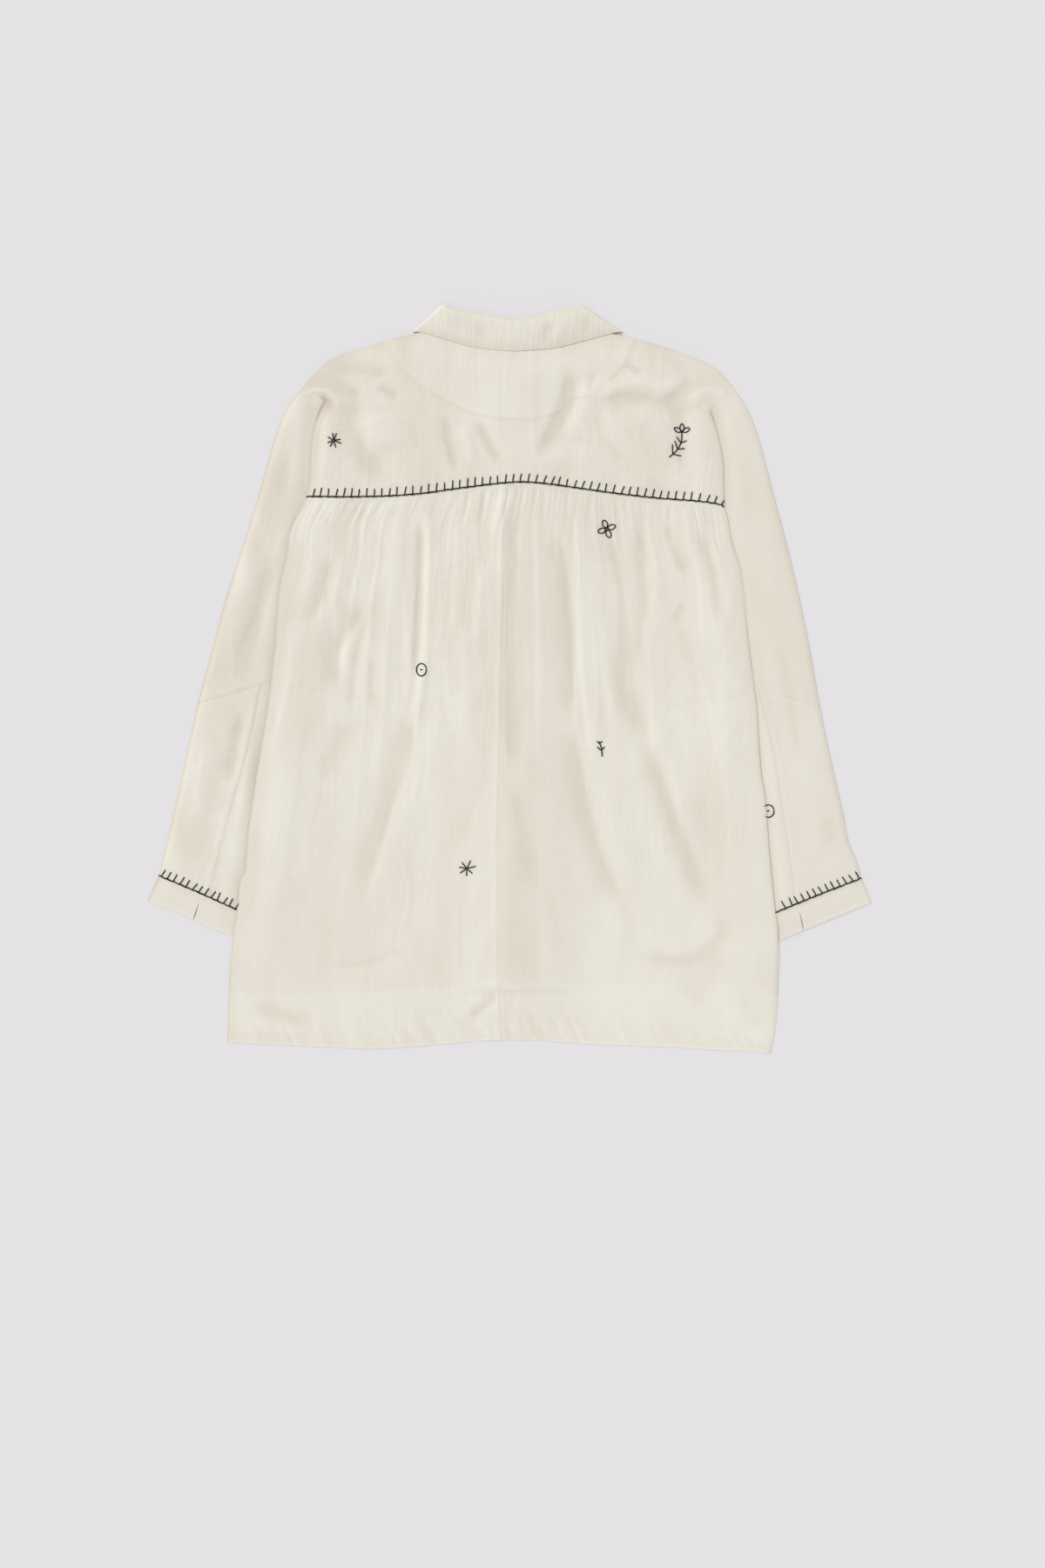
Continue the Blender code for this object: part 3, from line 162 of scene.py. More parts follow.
# Folds: half width on either side (the wearer's left, then right), height, share of fading at each
# end, and the path. A trough has a height below nought.
BACK_FOLDS = [
    (0.010, 0.016, -0.0014, 0.25, [(-0.232, 0.160), (-0.241, 0.110), (-0.246, 0.040)]),
    (0.012, 0.010, 0.0012, 0.30, [(-0.176, 0.150), (-0.186, 0.110), (-0.204, 0.070), (-0.216, 0.045)]),
    (0.012, 0.010, -0.0018, 0.30, [(-0.194, 0.140), (-0.206, 0.090), (-0.226, 0.052)]),
    (0.014, 0.009, -0.0024, 0.30, [(-0.150, 0.096), (-0.170, 0.062), (-0.190, 0.025), (-0.187, -0.030)]),
    (0.008, 0.009, 0.0010, 0.30, [(-0.140, 0.120), (-0.156, 0.070), (-0.176, 0.030), (-0.168, -0.020)]),
    (0.010, 0.006, -0.0016, 0.30, [(-0.143, 0.086), (-0.160, 0.055), (-0.170, 0.010), (-0.173, -0.050)]),
    (0.006, 0.008, -0.0009, 0.30, [(-0.147, 0.030), (-0.150, -0.010), (-0.146, -0.036)]),
    (0.012, 0.012, -0.0010, 0.35, [(-0.172, -0.040), (-0.190, -0.085), (-0.206, -0.120)]),
    (0.006, 0.0045, 0.0014, 0.12, [(-0.088, 0.190), (-0.089, 0.120), (-0.091, 0.040), (-0.096, -0.010),
                                   (-0.106, -0.066)]),
    (0.004, 0.007, -0.0015, 0.20, [(-0.097, 0.180), (-0.099, 0.090), (-0.104, 0.000)]),
    (0.018, 0.007, -0.0026, 0.30, [(-0.098, -0.010), (-0.112, -0.070), (-0.132, -0.140), (-0.150, -0.200),
                                   (-0.166, -0.262)]),
    (0.008, 0.016, 0.0011, 0.35, [(-0.080, -0.020), (-0.094, -0.090), (-0.112, -0.150), (-0.132, -0.210)]),
    (0.005, 0.006, 0.0007, 0.30, [(-0.058, 0.195), (-0.057, 0.120), (-0.060, 0.030)]),
    (0.007, 0.006, 0.0009, 0.30, [(-0.034, 0.200), (-0.032, 0.110), (-0.036, 0.010)]),
    (0.006, 0.014, -0.0017, 0.15, [(0.000, 0.205), (-0.001, 0.100), (0.000, -0.030), (0.004, -0.110)]),
    (0.012, 0.014, -0.0015, 0.30, [(0.003, -0.100), (0.012, -0.150), (0.022, -0.205), (0.014, -0.240)]),
    (0.004, 0.004, 0.0007, 0.20, [(0.030, 0.200), (0.031, 0.080), (0.032, -0.060)]),
    (0.014, 0.005, -0.0023, 0.22, [(0.050, 0.170), (0.060, 0.120), (0.066, 0.050), (0.067, -0.060)]),
    (0.004, 0.011, 0.0015, 0.15, [(0.074, 0.196), (0.076, 0.120), (0.080, 0.020), (0.088, -0.060),
                                  (0.100, -0.110)]),
    (0.016, 0.008, -0.0026, 0.25, [(0.066, -0.040), (0.078, -0.120), (0.094, -0.180), (0.112, -0.225),
                                   (0.131, -0.262)]),
    (0.008, 0.014, 0.0012, 0.35, [(0.096, -0.080), (0.110, -0.150), (0.128, -0.205), (0.140, -0.240)]),
    (0.005, 0.008, -0.0015, 0.30, [(0.106, 0.165), (0.120, 0.115), (0.128, 0.060)]),
    (0.012, 0.013, -0.0024, 0.25, [(0.128, 0.100), (0.131, 0.048), (0.126, -0.004), (0.138, -0.045),
                                   (0.152, -0.080)]),
    (0.014, 0.010, -0.0026, 0.25, [(0.146, -0.060), (0.168, -0.125), (0.188, -0.175), (0.204, -0.220),
                                   (0.218, -0.262)]),
    (0.010, 0.014, 0.0012, 0.30, [(0.150, 0.020), (0.156, -0.040), (0.176, -0.110), (0.200, -0.170),
                                  (0.222, -0.230)]),
    (0.008, 0.012, -0.0017, 0.30, [(0.214, -0.250), (0.232, -0.276), (0.208, -0.300), (0.176, -0.307),
                                   (0.126, -0.297)]),
    (0.007, 0.007, 0.0009, 0.30, [(0.090, 0.130), (0.100, 0.060), (0.108, -0.010), (0.122, -0.070)]),
    (0.008, 0.006, -0.0013, 0.25, [(0.142, 0.178), (0.147, 0.100), (0.152, 0.050)]),
    (0.005, 0.008, -0.0013, 0.25, [(0.170, 0.172), (0.181, 0.140), (0.192, 0.110)]),
    (0.004, 0.006, -0.0008, 0.30, [(0.190, 0.088), (0.184, 0.070), (0.178, 0.058)]),
    (0.006, 0.008, -0.0013, 0.25, [(0.206, 0.168), (0.222, 0.110), (0.230, 0.050)]),
    (0.006, 0.012, 0.0008, 0.25, [(0.216, 0.172), (0.232, 0.120), (0.242, 0.060)]),
    (0.020, 0.014, -0.0014, 0.30, [(0.236, -0.290), (0.216, -0.325), (0.198, -0.368)]),
    (0.012, 0.014, -0.0012, 0.30, [(0.246, -0.338), (0.262, -0.360), (0.280, -0.384)]),
    (0.010, 0.012, 0.0007, 0.30, [(0.226, -0.330), (0.240, -0.358), (0.250, -0.392)]),
    (0.010, 0.012, -0.0015, 0.30, [(-0.286, -0.352), (-0.262, -0.362), (-0.232, -0.371), (-0.206, -0.366)]),
    (0.010, 0.010, 0.0006, 0.30, [(-0.290, -0.372), (-0.250, -0.382), (-0.214, -0.384)]),
    (0.005, 0.006, -0.0005, 0.30, [(-0.212, -0.309), (-0.160, -0.311), (-0.128, -0.300), (-0.100, -0.288)]),
    (0.007, 0.005, -0.0011, 0.25, [(-0.010, -0.340), (-0.026, -0.356), (-0.046, -0.371)]),
    (0.006, 0.006, 0.0006, 0.25, [(-0.030, -0.340), (-0.041, -0.356), (-0.060, -0.372)]),
    (0.014, 0.010, 0.0009, 0.35, [(-0.130, 0.180), (-0.126, 0.110), (-0.130, 0.040), (-0.150, -0.060)]),
    (0.010, 0.012, 0.0009, 0.35, [(-0.236, -0.060), (-0.250, -0.140), (-0.262, -0.220)]),
    (0.012, 0.012, -0.0010, 0.35, [(-0.270, -0.130), (-0.282, -0.210), (-0.290, -0.280)]),
    (0.010, 0.012, 0.0006, 0.35, [(0.224, 0.000), (0.240, -0.090), (0.252, -0.180)]),
    (0.012, 0.010, -0.0008, 0.35, [(0.040, -0.210), (0.052, -0.270), (0.060, -0.320)]),
    (0.009, 0.010, 0.0006, 0.35, [(-0.060, -0.190), (-0.076, -0.250), (-0.086, -0.310)]),
    (0.010, 0.009, -0.0008, 0.35, [(-0.028, -0.080), (-0.040, -0.140), (-0.062, -0.200)]),
]
YOKE_FOLDS = [
    (0.007, 0.013, -0.0026, 0.25, [(0.066, 0.345), (0.062, 0.305), (0.045, 0.268), (0.031, 0.238)]),
    (0.010, 0.012, 0.0014, 0.30, [(0.088, 0.330), (0.078, 0.295), (0.062, 0.262)]),
    (0.007, 0.010, 0.0015, 0.25, [(0.084, 0.306), (0.106, 0.316), (0.140, 0.324), (0.176, 0.318),
                                  (0.204, 0.322)]),
    (0.010, 0.007, -0.0013, 0.25, [(0.098, 0.300), (0.126, 0.306), (0.156, 0.304), (0.186, 0.292)]),
    (0.011, 0.010, -0.0022, 0.30, [(0.172, 0.322), (0.184, 0.290), (0.188, 0.250), (0.190, 0.212)]),
    (0.010, 0.010, 0.0005, 0.30, [(0.204, 0.290), (0.210, 0.258), (0.213, 0.214)]),
    (0.014, 0.012, -0.0021, 0.25, [(-0.168, 0.318), (-0.172, 0.280), (-0.160, 0.246), (-0.130, 0.210)]),
    (0.020, 0.020, 0.0015, 0.35, [(-0.142, 0.296), (-0.138, 0.268), (-0.130, 0.246)]),
    (0.009, 0.010, -0.0018, 0.30, [(-0.204, 0.338), (-0.180, 0.341), (-0.150, 0.336), (-0.120, 0.334)]),
    (0.007, 0.007, -0.0013, 0.30, [(-0.144, 0.322), (-0.130, 0.312), (-0.118, 0.306)]),
    (0.008, 0.009, 0.0011, 0.30, [(-0.196, 0.300), (-0.200, 0.262), (-0.203, 0.215)]),
    (0.007, 0.006, -0.0014, 0.30, [(-0.072, 0.290), (-0.066, 0.258), (-0.056, 0.222)]),
    (0.006, 0.007, -0.0015, 0.30, [(-0.038, 0.284), (-0.026, 0.264), (-0.016, 0.244), (-0.008, 0.228)]),
    (0.006, 0.006, 0.0009, 0.30, [(-0.052, 0.282), (-0.044, 0.252), (-0.036, 0.226)]),
    (0.004, 0.004, -0.0006, 0.25, [(0.092, 0.338), (0.090, 0.322), (0.086, 0.310)]),
    (0.004, 0.005, -0.0007, 0.25, [(0.124, 0.345), (0.136, 0.338), (0.144, 0.330)]),
    (0.012, 0.012, 0.0009, 0.35, [(0.010, 0.270), (0.060, 0.246), (0.120, 0.250)]),
    (0.010, 0.010, -0.0009, 0.35, [(0.100, 0.270), (0.126, 0.236), (0.150, 0.214)]),
]
SHOULDER_FOLDS = [
    (0.0055, 0.0070, -0.0020, 0.20, [(-0.228, 0.316), (-0.212, 0.3240), (-0.194, 0.3225), (-0.176, 0.3140),
                                     (-0.160, 0.3050)]),
    (0.0045, 0.0050, 0.0013, 0.22, [(-0.228, 0.3100), (-0.213, 0.3155), (-0.198, 0.3130), (-0.1895, 0.3040),
                                    (-0.187, 0.2900)]),
    (0.0040, 0.0045, -0.0011, 0.22, [(-0.209, 0.3040), (-0.2010, 0.3080), (-0.1965, 0.3000),
                                     (-0.197, 0.2900)]),
    (0.0070, 0.0070, -0.0012, 0.25, [(-0.246, 0.296), (-0.236, 0.318), (-0.214, 0.332)]),
    (0.0080, 0.0060, -0.0013, 0.20, [(0.164, 0.2980), (0.184, 0.3130), (0.206, 0.3265), (0.229, 0.3300),
                                     (0.246, 0.3160)]),
    (0.0060, 0.0060, 0.0010, 0.22, [(0.198, 0.2960), (0.2065, 0.3110), (0.220, 0.3165), (0.233, 0.3090),
                                    (0.243, 0.2940)]),
    (0.0045, 0.0045, -0.0012, 0.22, [(0.212, 0.3000), (0.2190, 0.3035), (0.2245, 0.2950), (0.229, 0.2800)]),
    (0.0070, 0.0080, -0.0010, 0.25, [(0.220, 0.3380), (0.244, 0.3220), (0.258, 0.2980)]),
]
SLEEVE_FOLDS = [
    (0.010, 0.009, -0.0016, 0.30, [(-0.254, 0.150), (-0.268, 0.090), (-0.286, 0.030), (-0.294, -0.010)]),
    (0.012, 0.016, 0.0012, 0.35, [(-0.280, 0.150), (-0.296, 0.080), (-0.308, 0.010)]),
    (0.008, 0.007, -0.0014, 0.30, [(-0.291, -0.030), (-0.299, -0.070), (-0.306, -0.120)]),
    (0.010, 0.012, 0.0010, 0.35, [(-0.318, -0.050), (-0.334, -0.120), (-0.346, -0.180)]),
    (0.008, 0.008, 0.0008, 0.35, [(-0.276, -0.060), (-0.288, -0.120), (-0.296, -0.180)]),
    (0.009, 0.009, -0.0008, 0.35, [(-0.238, 0.270), (-0.246, 0.220), (-0.252, 0.180)]),
    (0.009, 0.009, -0.0009, 0.35, [(0.250, 0.262), (0.262, 0.206), (0.268, 0.160)]),
    (0.012, 0.014, 0.0012, 0.35, [(0.276, 0.200), (0.288, 0.130), (0.298, 0.060)]),
    (0.007, 0.008, -0.0012, 0.30, [(0.290, 0.050), (0.304, 0.000), (0.310, -0.040), (0.318, -0.100)]),
    (0.007, 0.007, 0.0008, 0.30, [(0.300, 0.040), (0.318, -0.010), (0.322, -0.050)]),
    (0.010, 0.009, -0.0012, 0.30, [(0.344, -0.146), (0.351, -0.166), (0.349, -0.188)]),
    (0.008, 0.008, -0.0010, 0.30, [(0.266, 0.060), (0.274, 0.010), (0.280, -0.030)]),
    (0.010, 0.010, 0.0010, 0.35, [(0.322, -0.110), (0.334, -0.160), (0.342, -0.204)]),
]

# Creases of the fronts, on the hidden side, raised a little from the floor
FRONT_FOLDS = [
    (0.008, 0.011, 0.0011, 0.30, [(-0.190, 0.262), (-0.182, 0.190), (-0.156, 0.112)]),
    (0.007, 0.009, 0.0009, 0.30, [(-0.112, 0.214), (-0.122, 0.122), (-0.132, 0.016)]),
    (0.011, 0.008, 0.0011, 0.30, [(-0.076, 0.064), (-0.094, -0.058), (-0.122, -0.186)]),
    (0.009, 0.010, 0.0009, 0.30, [(-0.158, -0.074), (-0.178, -0.168), (-0.206, -0.268)]),
    (0.006, 0.008, 0.0007, 0.30, [(-0.040, 0.160), (-0.046, 0.070), (-0.042, -0.030)]),
    (0.008, 0.007, 0.0008, 0.30, [(-0.216, 0.060), (-0.224, -0.030), (-0.236, -0.128)]),
    (0.009, 0.010, 0.0011, 0.30, [(0.196, 0.244), (0.186, 0.172), (0.160, 0.094)]),
    (0.007, 0.009, 0.0009, 0.30, [(0.116, 0.196), (0.128, 0.108), (0.142, 0.006)]),
    (0.010, 0.008, 0.0011, 0.30, [(0.098, 0.034), (0.116, -0.076), (0.132, -0.196)]),
    (0.009, 0.009, 0.0008, 0.30, [(0.182, -0.064), (0.198, -0.158), (0.224, -0.252)]),
    (0.006, 0.008, 0.0007, 0.30, [(0.066, 0.142), (0.070, 0.052), (0.064, -0.044)]),
    (0.008, 0.009, 0.0007, 0.30, [(0.222, 0.040), (0.232, -0.052), (0.240, -0.140)]),
    (0.008, 0.008, 0.0008, 0.30, [(0.060, -0.150), (0.082, -0.220), (0.112, -0.270)]),
]
UNDER_SLEEVE_FOLDS = [
    (0.007, 0.008, 0.0007, 0.30, [(-0.262, 0.236), (-0.270, 0.150), (-0.286, 0.070)]),
    (0.006, 0.007, 0.0006, 0.30, [(-0.304, 0.030), (-0.312, -0.040), (-0.330, -0.120)]),
    (0.007, 0.007, 0.0006, 0.30, [(-0.286, -0.060), (-0.302, -0.130), (-0.318, -0.190)]),
    (0.007, 0.008, 0.0007, 0.30, [(0.270, 0.236), (0.280, 0.150), (0.292, 0.070)]),
    (0.006, 0.007, 0.0006, 0.30, [(0.304, 0.040), (0.316, -0.030), (0.332, -0.110)]),
    (0.007, 0.007, 0.0006, 0.30, [(0.292, -0.050), (0.306, -0.120), (0.322, -0.180)]),
]

# Gathers where the back is eased into the yoke
GATHER_COUNT = 52
GATHER_FULLNESS = 1.25
GATHER_SEED = 7
GATHER_HEIGHT = 0.00070
DRAPE_SHADE = 0.42
VALLEY_SHARE = 0.65
WRINKLE_SEED = 21
HEM_DEPTH = 0.0105
SEAM_TUCK = 0.0030

# Collar lines, from the centre back round to the front
ROLL_BACK_LEFT = [(0.005, 0.3905), (-0.030, 0.3965), (-0.058, 0.4015), (-0.0715, 0.4065)]
ROLL_BACK_RIGHT = [(0.005, 0.3905), (0.034, 0.3945), (0.056, 0.4010), (0.0765, 0.4060)]
ROLL_FRONT_LEFT = [(-0.0715, 0.4065), (-0.064, 0.372), (-0.045, 0.340), (-0.020, 0.324), (0.004, 0.318)]
ROLL_FRONT_RIGHT = [(0.0765, 0.4060), (0.074, 0.372), (0.056, 0.340), (0.036, 0.324), (0.018, 0.318)]
LEAF_BACK_LEFT = [(0.005, 0.3575), (-0.020, 0.3595), (-0.043, 0.3630), (-0.070, 0.3705), (-0.094, 0.3778),
                  (-0.1040, 0.3788)]
LEAF_BACK_RIGHT = [(0.005, 0.3575), (0.030, 0.3590), (0.055, 0.3620), (0.086, 0.3700), (0.115, 0.3778),
                   (0.1225, 0.3782)]
LEAF_FRONT_LEFT = [(-0.1040, 0.3788), (-0.106, 0.345), (-0.090, 0.305), (-0.066, 0.272), (-0.038, 0.248)]
LEAF_FRONT_RIGHT = [(0.1225, 0.3782), (0.118, 0.345), (0.102, 0.305), (0.080, 0.272), (0.058, 0.248)]
ROLL_RADIUS_BACK = 0.0019
ROLL_RADIUS_FRONT = 0.0006
NECK_RAISE = 0.0014
NECK_ZONE_CENTRE = (0.008, 0.350)
NECK_ZONE_RADII = (0.150, 0.130)

# Hand stitching in dark thread
THREAD = 0.00074
YOKE_STITCH_PITCH = 0.00845
YOKE_STITCH_HEIGHT = 0.0090
CUFF_STITCH_PITCH = 0.0078
CUFF_STITCH_HEIGHT = 0.0098
MARK_SIZE = 0.0082
MARK_THREAD = 0.96
MAIN_LINE = 1.32
THREAD_SIDES = 6
BUTTON_SEGMENTS = 48
BUTTON_NUMBERS = range(1, 8)

# Shares by which each sleeve's tone, folds, fine creases and painted outline shade differ; the outline shade
# is deeper on the wearer's left, where the key light falls on the outer fold
SLEEVE_SHADE = {"left": 0.45, "right": 0.25}
SLEEVE_LIFE = {"left": 1.20, "right": 0.34}
SLEEVE_CRINKLE = {"left": 1.25, "right": 1.50}
OUTLINE_SHADE = {"left": 2.2, "right": 0.8}

# Folds of the collar leaf, in columns like those above
COLLAR_FOLDS = [
    (0.006, 0.008, -0.0009, 0.30, [(0.048, 0.392), (0.040, 0.378), (0.036, 0.362)]),
    (0.006, 0.006, 0.0008, 0.30, [(0.060, 0.398), (0.054, 0.380), (0.052, 0.366)]),
    (0.010, 0.010, -0.0006, 0.30, [(-0.070, 0.400), (-0.040, 0.384), (-0.020, 0.372)]),
    (0.008, 0.008, 0.0006, 0.30, [(-0.090, 0.388), (-0.060, 0.376), (-0.030, 0.368)]),
    (0.008, 0.010, -0.0006, 0.30, [(0.090, 0.396), (0.084, 0.384), (0.086, 0.374)]),
]

# The finest wrinkles, which run down from the yoke
WRINKLE_WIDTH = 0.0090
WRINKLE_LENGTH = 0.110
WRINKLE_DEPTH = 0.00045

# Colours of the silk's finish. Each point's tone value mixes the light colour with the deep one, which carry
# random tone and also painted shade and painted highlight; the last colour is a painted shade for the darkest
# creases and edges.
SILK_LIGHT = (0.846, 0.815, 0.720)
SILK_DEEP_AND_SHADE = (0.728, 0.664, 0.568)
INSIDE_LIGHT = (0.815, 0.780, 0.680)
INSIDE_DEEP_AND_SHADE = (0.705, 0.640, 0.540)
CREASE_SHADE = (0.560, 0.480, 0.380)

# Random cells of the smooth noise, and the rounding where cloth meets what it lies on
NOISE_CELLS = 128
SOFT_JOIN = 0.0005


def smoothstep(low, high, value):
    share = np.clip((value - low) / (high - low), 0.0, 1.0)
    return share * share * (3 - 2 * share)


def bell(away, width):
    """1 at nought, and almost nothing from two widths on."""
    return np.exp(-((away / width) ** 2))


def smooth_path(points, per_span=12):
    """A dense Catmull-Rom line through the points."""
    p = np.array(points, float)
    p = np.vstack([2 * p[0] - p[1], p, 2 * p[-1] - p[-2]])
    t = np.linspace(0, 1, per_span, endpoint=False)[:, None]
    spans = []
    for a, b, c, d in zip(p, p[1:], p[2:], p[3:]):
        spans.append(0.5 * (2 * b + (c - a) * t + (2 * a - 5 * b + 4 * c - d) * t**2
                            + (3 * b - a - 3 * c + d) * t**3))
    return np.vstack([*spans, p[-2]])


def lengths_along(path):
    return np.concatenate([[0.0], np.cumsum(np.linalg.norm(np.diff(path, axis=0), axis=1))])


def points_at(path, shares):
    run = lengths_along(path)
    at = np.asarray(shares) * run[-1]
    return np.stack([np.interp(at, run, path[:, k]) for k in range(path.shape[1])], axis=1)


def even(count):
    return np.linspace(0.0, 1.0, count + 1)


def corner_shares(first, second, first_steps, second_steps):
    corner = lengths_along(first)[-1] / (lengths_along(first)[-1] + lengths_along(second)[-1])
    return np.concatenate([corner * even(first_steps), (corner + (1 - corner) * even(second_steps))[1:]])


def patch(top, bottom, left, right, across, down):
    """Plan points between four edges: a grid of rows that run from left to right."""
    t, b = points_at(top, across), points_at(bottom, across)
    lft, rgt = points_at(left, down), points_at(right, down)
    lft[0], lft[-1], rgt[0], rgt[-1] = t[0], b[0], t[-1], b[-1]
    u, v = np.asarray(across)[None, :, None], np.asarray(down)[:, None, None]
    ruled = (1 - v) * t[None] + v * b[None] + (1 - u) * lft[:, None] + u * rgt[:, None]
    corners = ((1 - u) * (1 - v) * t[0] + u * (1 - v) * t[-1] + (1 - u) * v * b[0] + u * v * b[-1])
    return ruled - corners


def edge_x(path, y):
    return np.interp(-y, -path[:, 1], path[:, 0])


def edge_y(path, x):
    order = np.argsort(path[:, 0])
    return np.interp(x, path[order, 0], path[order, 1])


def beside_path(x, y, path):
    """Signed distance from a path that runs down (above nought to its east), and share along it."""
    run = lengths_along(path)
    best, share, side = np.full(np.shape(x), np.inf), np.zeros(np.shape(x)), np.ones(np.shape(x))
    for i, (a, b) in enumerate(zip(path, path[1:])):
        d = b - a
        t = np.clip(((x - a[0]) * d[0] + (y - a[1]) * d[1]) / (d @ d), 0, 1)
        away = np.hypot(x - a[0] - t * d[0], y - a[1] - t * d[1])
        nearer = away < best
        best = np.where(nearer, away, best)
        share = np.where(nearer, (run[i] + t * (run[i + 1] - run[i])) / run[-1], share)
        turn = d[1] * (x - a[0]) - d[0] * (y - a[1])
        side = np.where(nearer, np.where(turn < 0, 1.0, -1.0), side)
    return best * side, share


def fold_heights(x, y, folds):
    """Soft ridges and troughs, steeper on one side than the other, that fade out at their ends."""
    total = np.zeros(np.shape(x))
    for west, east, height, fade, points in folds:
        path = smooth_path(points, 5)
        reach = 3 * max(west, east)
        low, high = path.min(axis=0) - reach, path.max(axis=0) + reach
        near = (x > low[0]) & (x < high[0]) & (y > low[1]) & (y < high[1])
        if not near.any():
            continue
        away, share = beside_path(x[near], y[near], path)
        width = np.where(away < 0, west, east)
        ends = smoothstep(0.0, fade, share) * smoothstep(0.0, fade, 1 - share)
        total[near] += height * ends * bell(away, width)
    return total


def smooth_noise(x, y, cell_x, cell_y, seed):
    """Random heights between -1 and 1 on a grid of cells, smoothly joined."""
    table = np.random.default_rng(seed).uniform(-1, 1, (NOISE_CELLS, NOISE_CELLS))
    u, v = x / cell_x + 57.3, y / cell_y + 31.7
    i, j = np.floor(u).astype(int), np.floor(v).astype(int)
    fu, fv = u - i, v - j
    fu, fv = fu * fu * (3 - 2 * fu), fv * fv * (3 - 2 * fv)

    def at(a, b):
        return table[a % NOISE_CELLS, b % NOISE_CELLS]

    low = at(i, j) * (1 - fu) + at(i + 1, j) * fu
    high = at(i, j + 1) * (1 - fu) + at(i + 1, j + 1) * fu
    return low * (1 - fv) + high * fv


def creases(x, y, cell_x, cell_y, seed, sharp=2.2):
    """Thin ridges along the lines where a smooth noise is nought."""
    bend = 0.35 * cell_x * smooth_noise(x, y, 2.3 * cell_x, 2.3 * cell_y, seed + 1)
    return (1 - np.abs(smooth_noise(x + bend, y, cell_x, cell_y, seed))) ** sharp


BODY_EDGE_LEFT = np.vstack([smooth_path(ARMHOLE_LEFT), smooth_path(SIDE_LEFT)])
BODY_EDGE_RIGHT = np.vstack([smooth_path(ARMHOLE_RIGHT), smooth_path(SIDE_RIGHT)])
TOP_EDGE = np.array([*SHOULDER_LEFT[:-1], *BACK_NECK, *reversed(SHOULDER_RIGHT[:-1])])
SEAM_PATH, CENTRE_PATH, HEM_PATH = smooth_path(YOKE_SEAM), smooth_path(CENTRE_SEAM), smooth_path(HEM)
FACING_PATH, FRONT_HEM_PATH = smooth_path(FACING_EDGE), smooth_path(FRONT_HEM)


def inside_sides(x, y):
    return np.minimum(x - edge_x(BODY_EDGE_LEFT, y), edge_x(BODY_EDGE_RIGHT, y) - x)


def sleeve_lift(x, y):
    side = 1 - smoothstep(0.018, 0.075, inside_sides(x, y))
    return BODY_OVER_SLEEVE * side * (1 - smoothstep(0.270, 0.312, y)) * smoothstep(-0.345, -0.288, y)


def neck_lift(x, y):
    across = (x - NECK_ZONE_CENTRE[0]) / NECK_ZONE_RADII[0]
    away = np.hypot(across, (y - NECK_ZONE_CENTRE[1]) / NECK_ZONE_RADII[1])
    return NECK_RAISE * (1 - smoothstep(1.0, 1.6, away))


def front_height(x, y, side):
    """A front, raised over the sleeves, the collar's front leaves and the buttons."""
    lift = np.maximum(sleeve_lift(x, y), neck_lift(x, y))
    band = PLACKET_LIFT * (1 - smoothstep(PLACKET_FLAT, 0.090, np.abs(x - CENTRE_X)))
    over = LAYER * (1 - smoothstep(PLACKET_FLAT, 0.070, np.abs(x - CENTRE_X))) if side == "left" else 0.0
    return ON_FLOOR + np.maximum(lift, band) + over


def front_relief(x, y):
    """The fronts' own creases, which stay clear of the edges, the button band and the collar."""
    inner = smoothstep(0.016, 0.050, inside_sides(x, y))
    inner = inner * smoothstep(0.004, 0.030, y - edge_y(FRONT_HEM_PATH, x))
    inner = inner * smoothstep(PLACKET_FLAT, PLACKET_FLAT + 0.012, np.abs(x - CENTRE_X))
    inner = inner * (1 - neck_lift(x, y) / NECK_RAISE)
    grain = np.clip(cloth_grain(x, y, WRINKLE_SEED + 210, 0.6) + 0.0001, 0.0, None)
    return inner * (fold_heights(x, y, FRONT_FOLDS) + grain)


def under_back(x, y):
    """What the back lies on, with the steps that the button band and the front hem make in it."""
    covered = smoothstep(-0.008, 0.001, y - edge_y(FRONT_HEM_PATH, x)) * 0.55
    covered = covered + smoothstep(-0.045, -0.004, y - edge_y(FRONT_HEM_PATH, x)) * 0.45
    band = smoothstep(BAND_LOW_X - 0.002, BAND_LOW_X + 0.001, x)
    band = band * (1 - smoothstep(BAND_HIGH_X - 0.001, BAND_HIGH_X + 0.003, x))
    raised = front_height(x, y, "left") + LAYER + 0.0003 * band
    return ON_FLOOR * (1 - covered) + covered * raised


def facing_zone(x, y):
    """1 over the neck facing."""
    below = y - edge_y(FACING_PATH, np.clip(x, FACING_EDGE[0][0], FACING_EDGE[-1][0]))
    sides = np.minimum(x - FACING_EDGE[0][0], FACING_EDGE[-1][0] - x)
    return smoothstep(-0.0010, 0.0012, np.minimum(below, sides + 0.004))


def body_puff(x, y):
    sides = smoothstep(-0.002, 0.045, inside_sides(x, y))
    shoulders = smoothstep(0.000, 0.030, edge_y(TOP_EDGE, x) - y)
    hem = smoothstep(0.000, 0.060, y - edge_y(HEM_PATH, x))
    return BODY_PUFF * sides * shoulders * (0.15 + 0.85 * hem)


def soft_floor(height, least):
    """height, kept above least with a rounded join."""
    rise = height - least
    return least + (rise + np.sqrt(rise * rise + SOFT_JOIN * SOFT_JOIN)) / 2


def flow_of(x, y):
    """Where on the yoke seam the thread of cloth at (x, y) starts, and how far down it is."""
    left, right = edge_x(BODY_EDGE_LEFT, y), edge_x(BODY_EDGE_RIGHT, y)
    share = np.clip((x - left) / (right - left), 0, 1)
    start = YOKE_SEAM[0][0] + share * (YOKE_SEAM[-1][0] - YOKE_SEAM[0][0])
    return start, edge_y(SEAM_PATH, start) - y


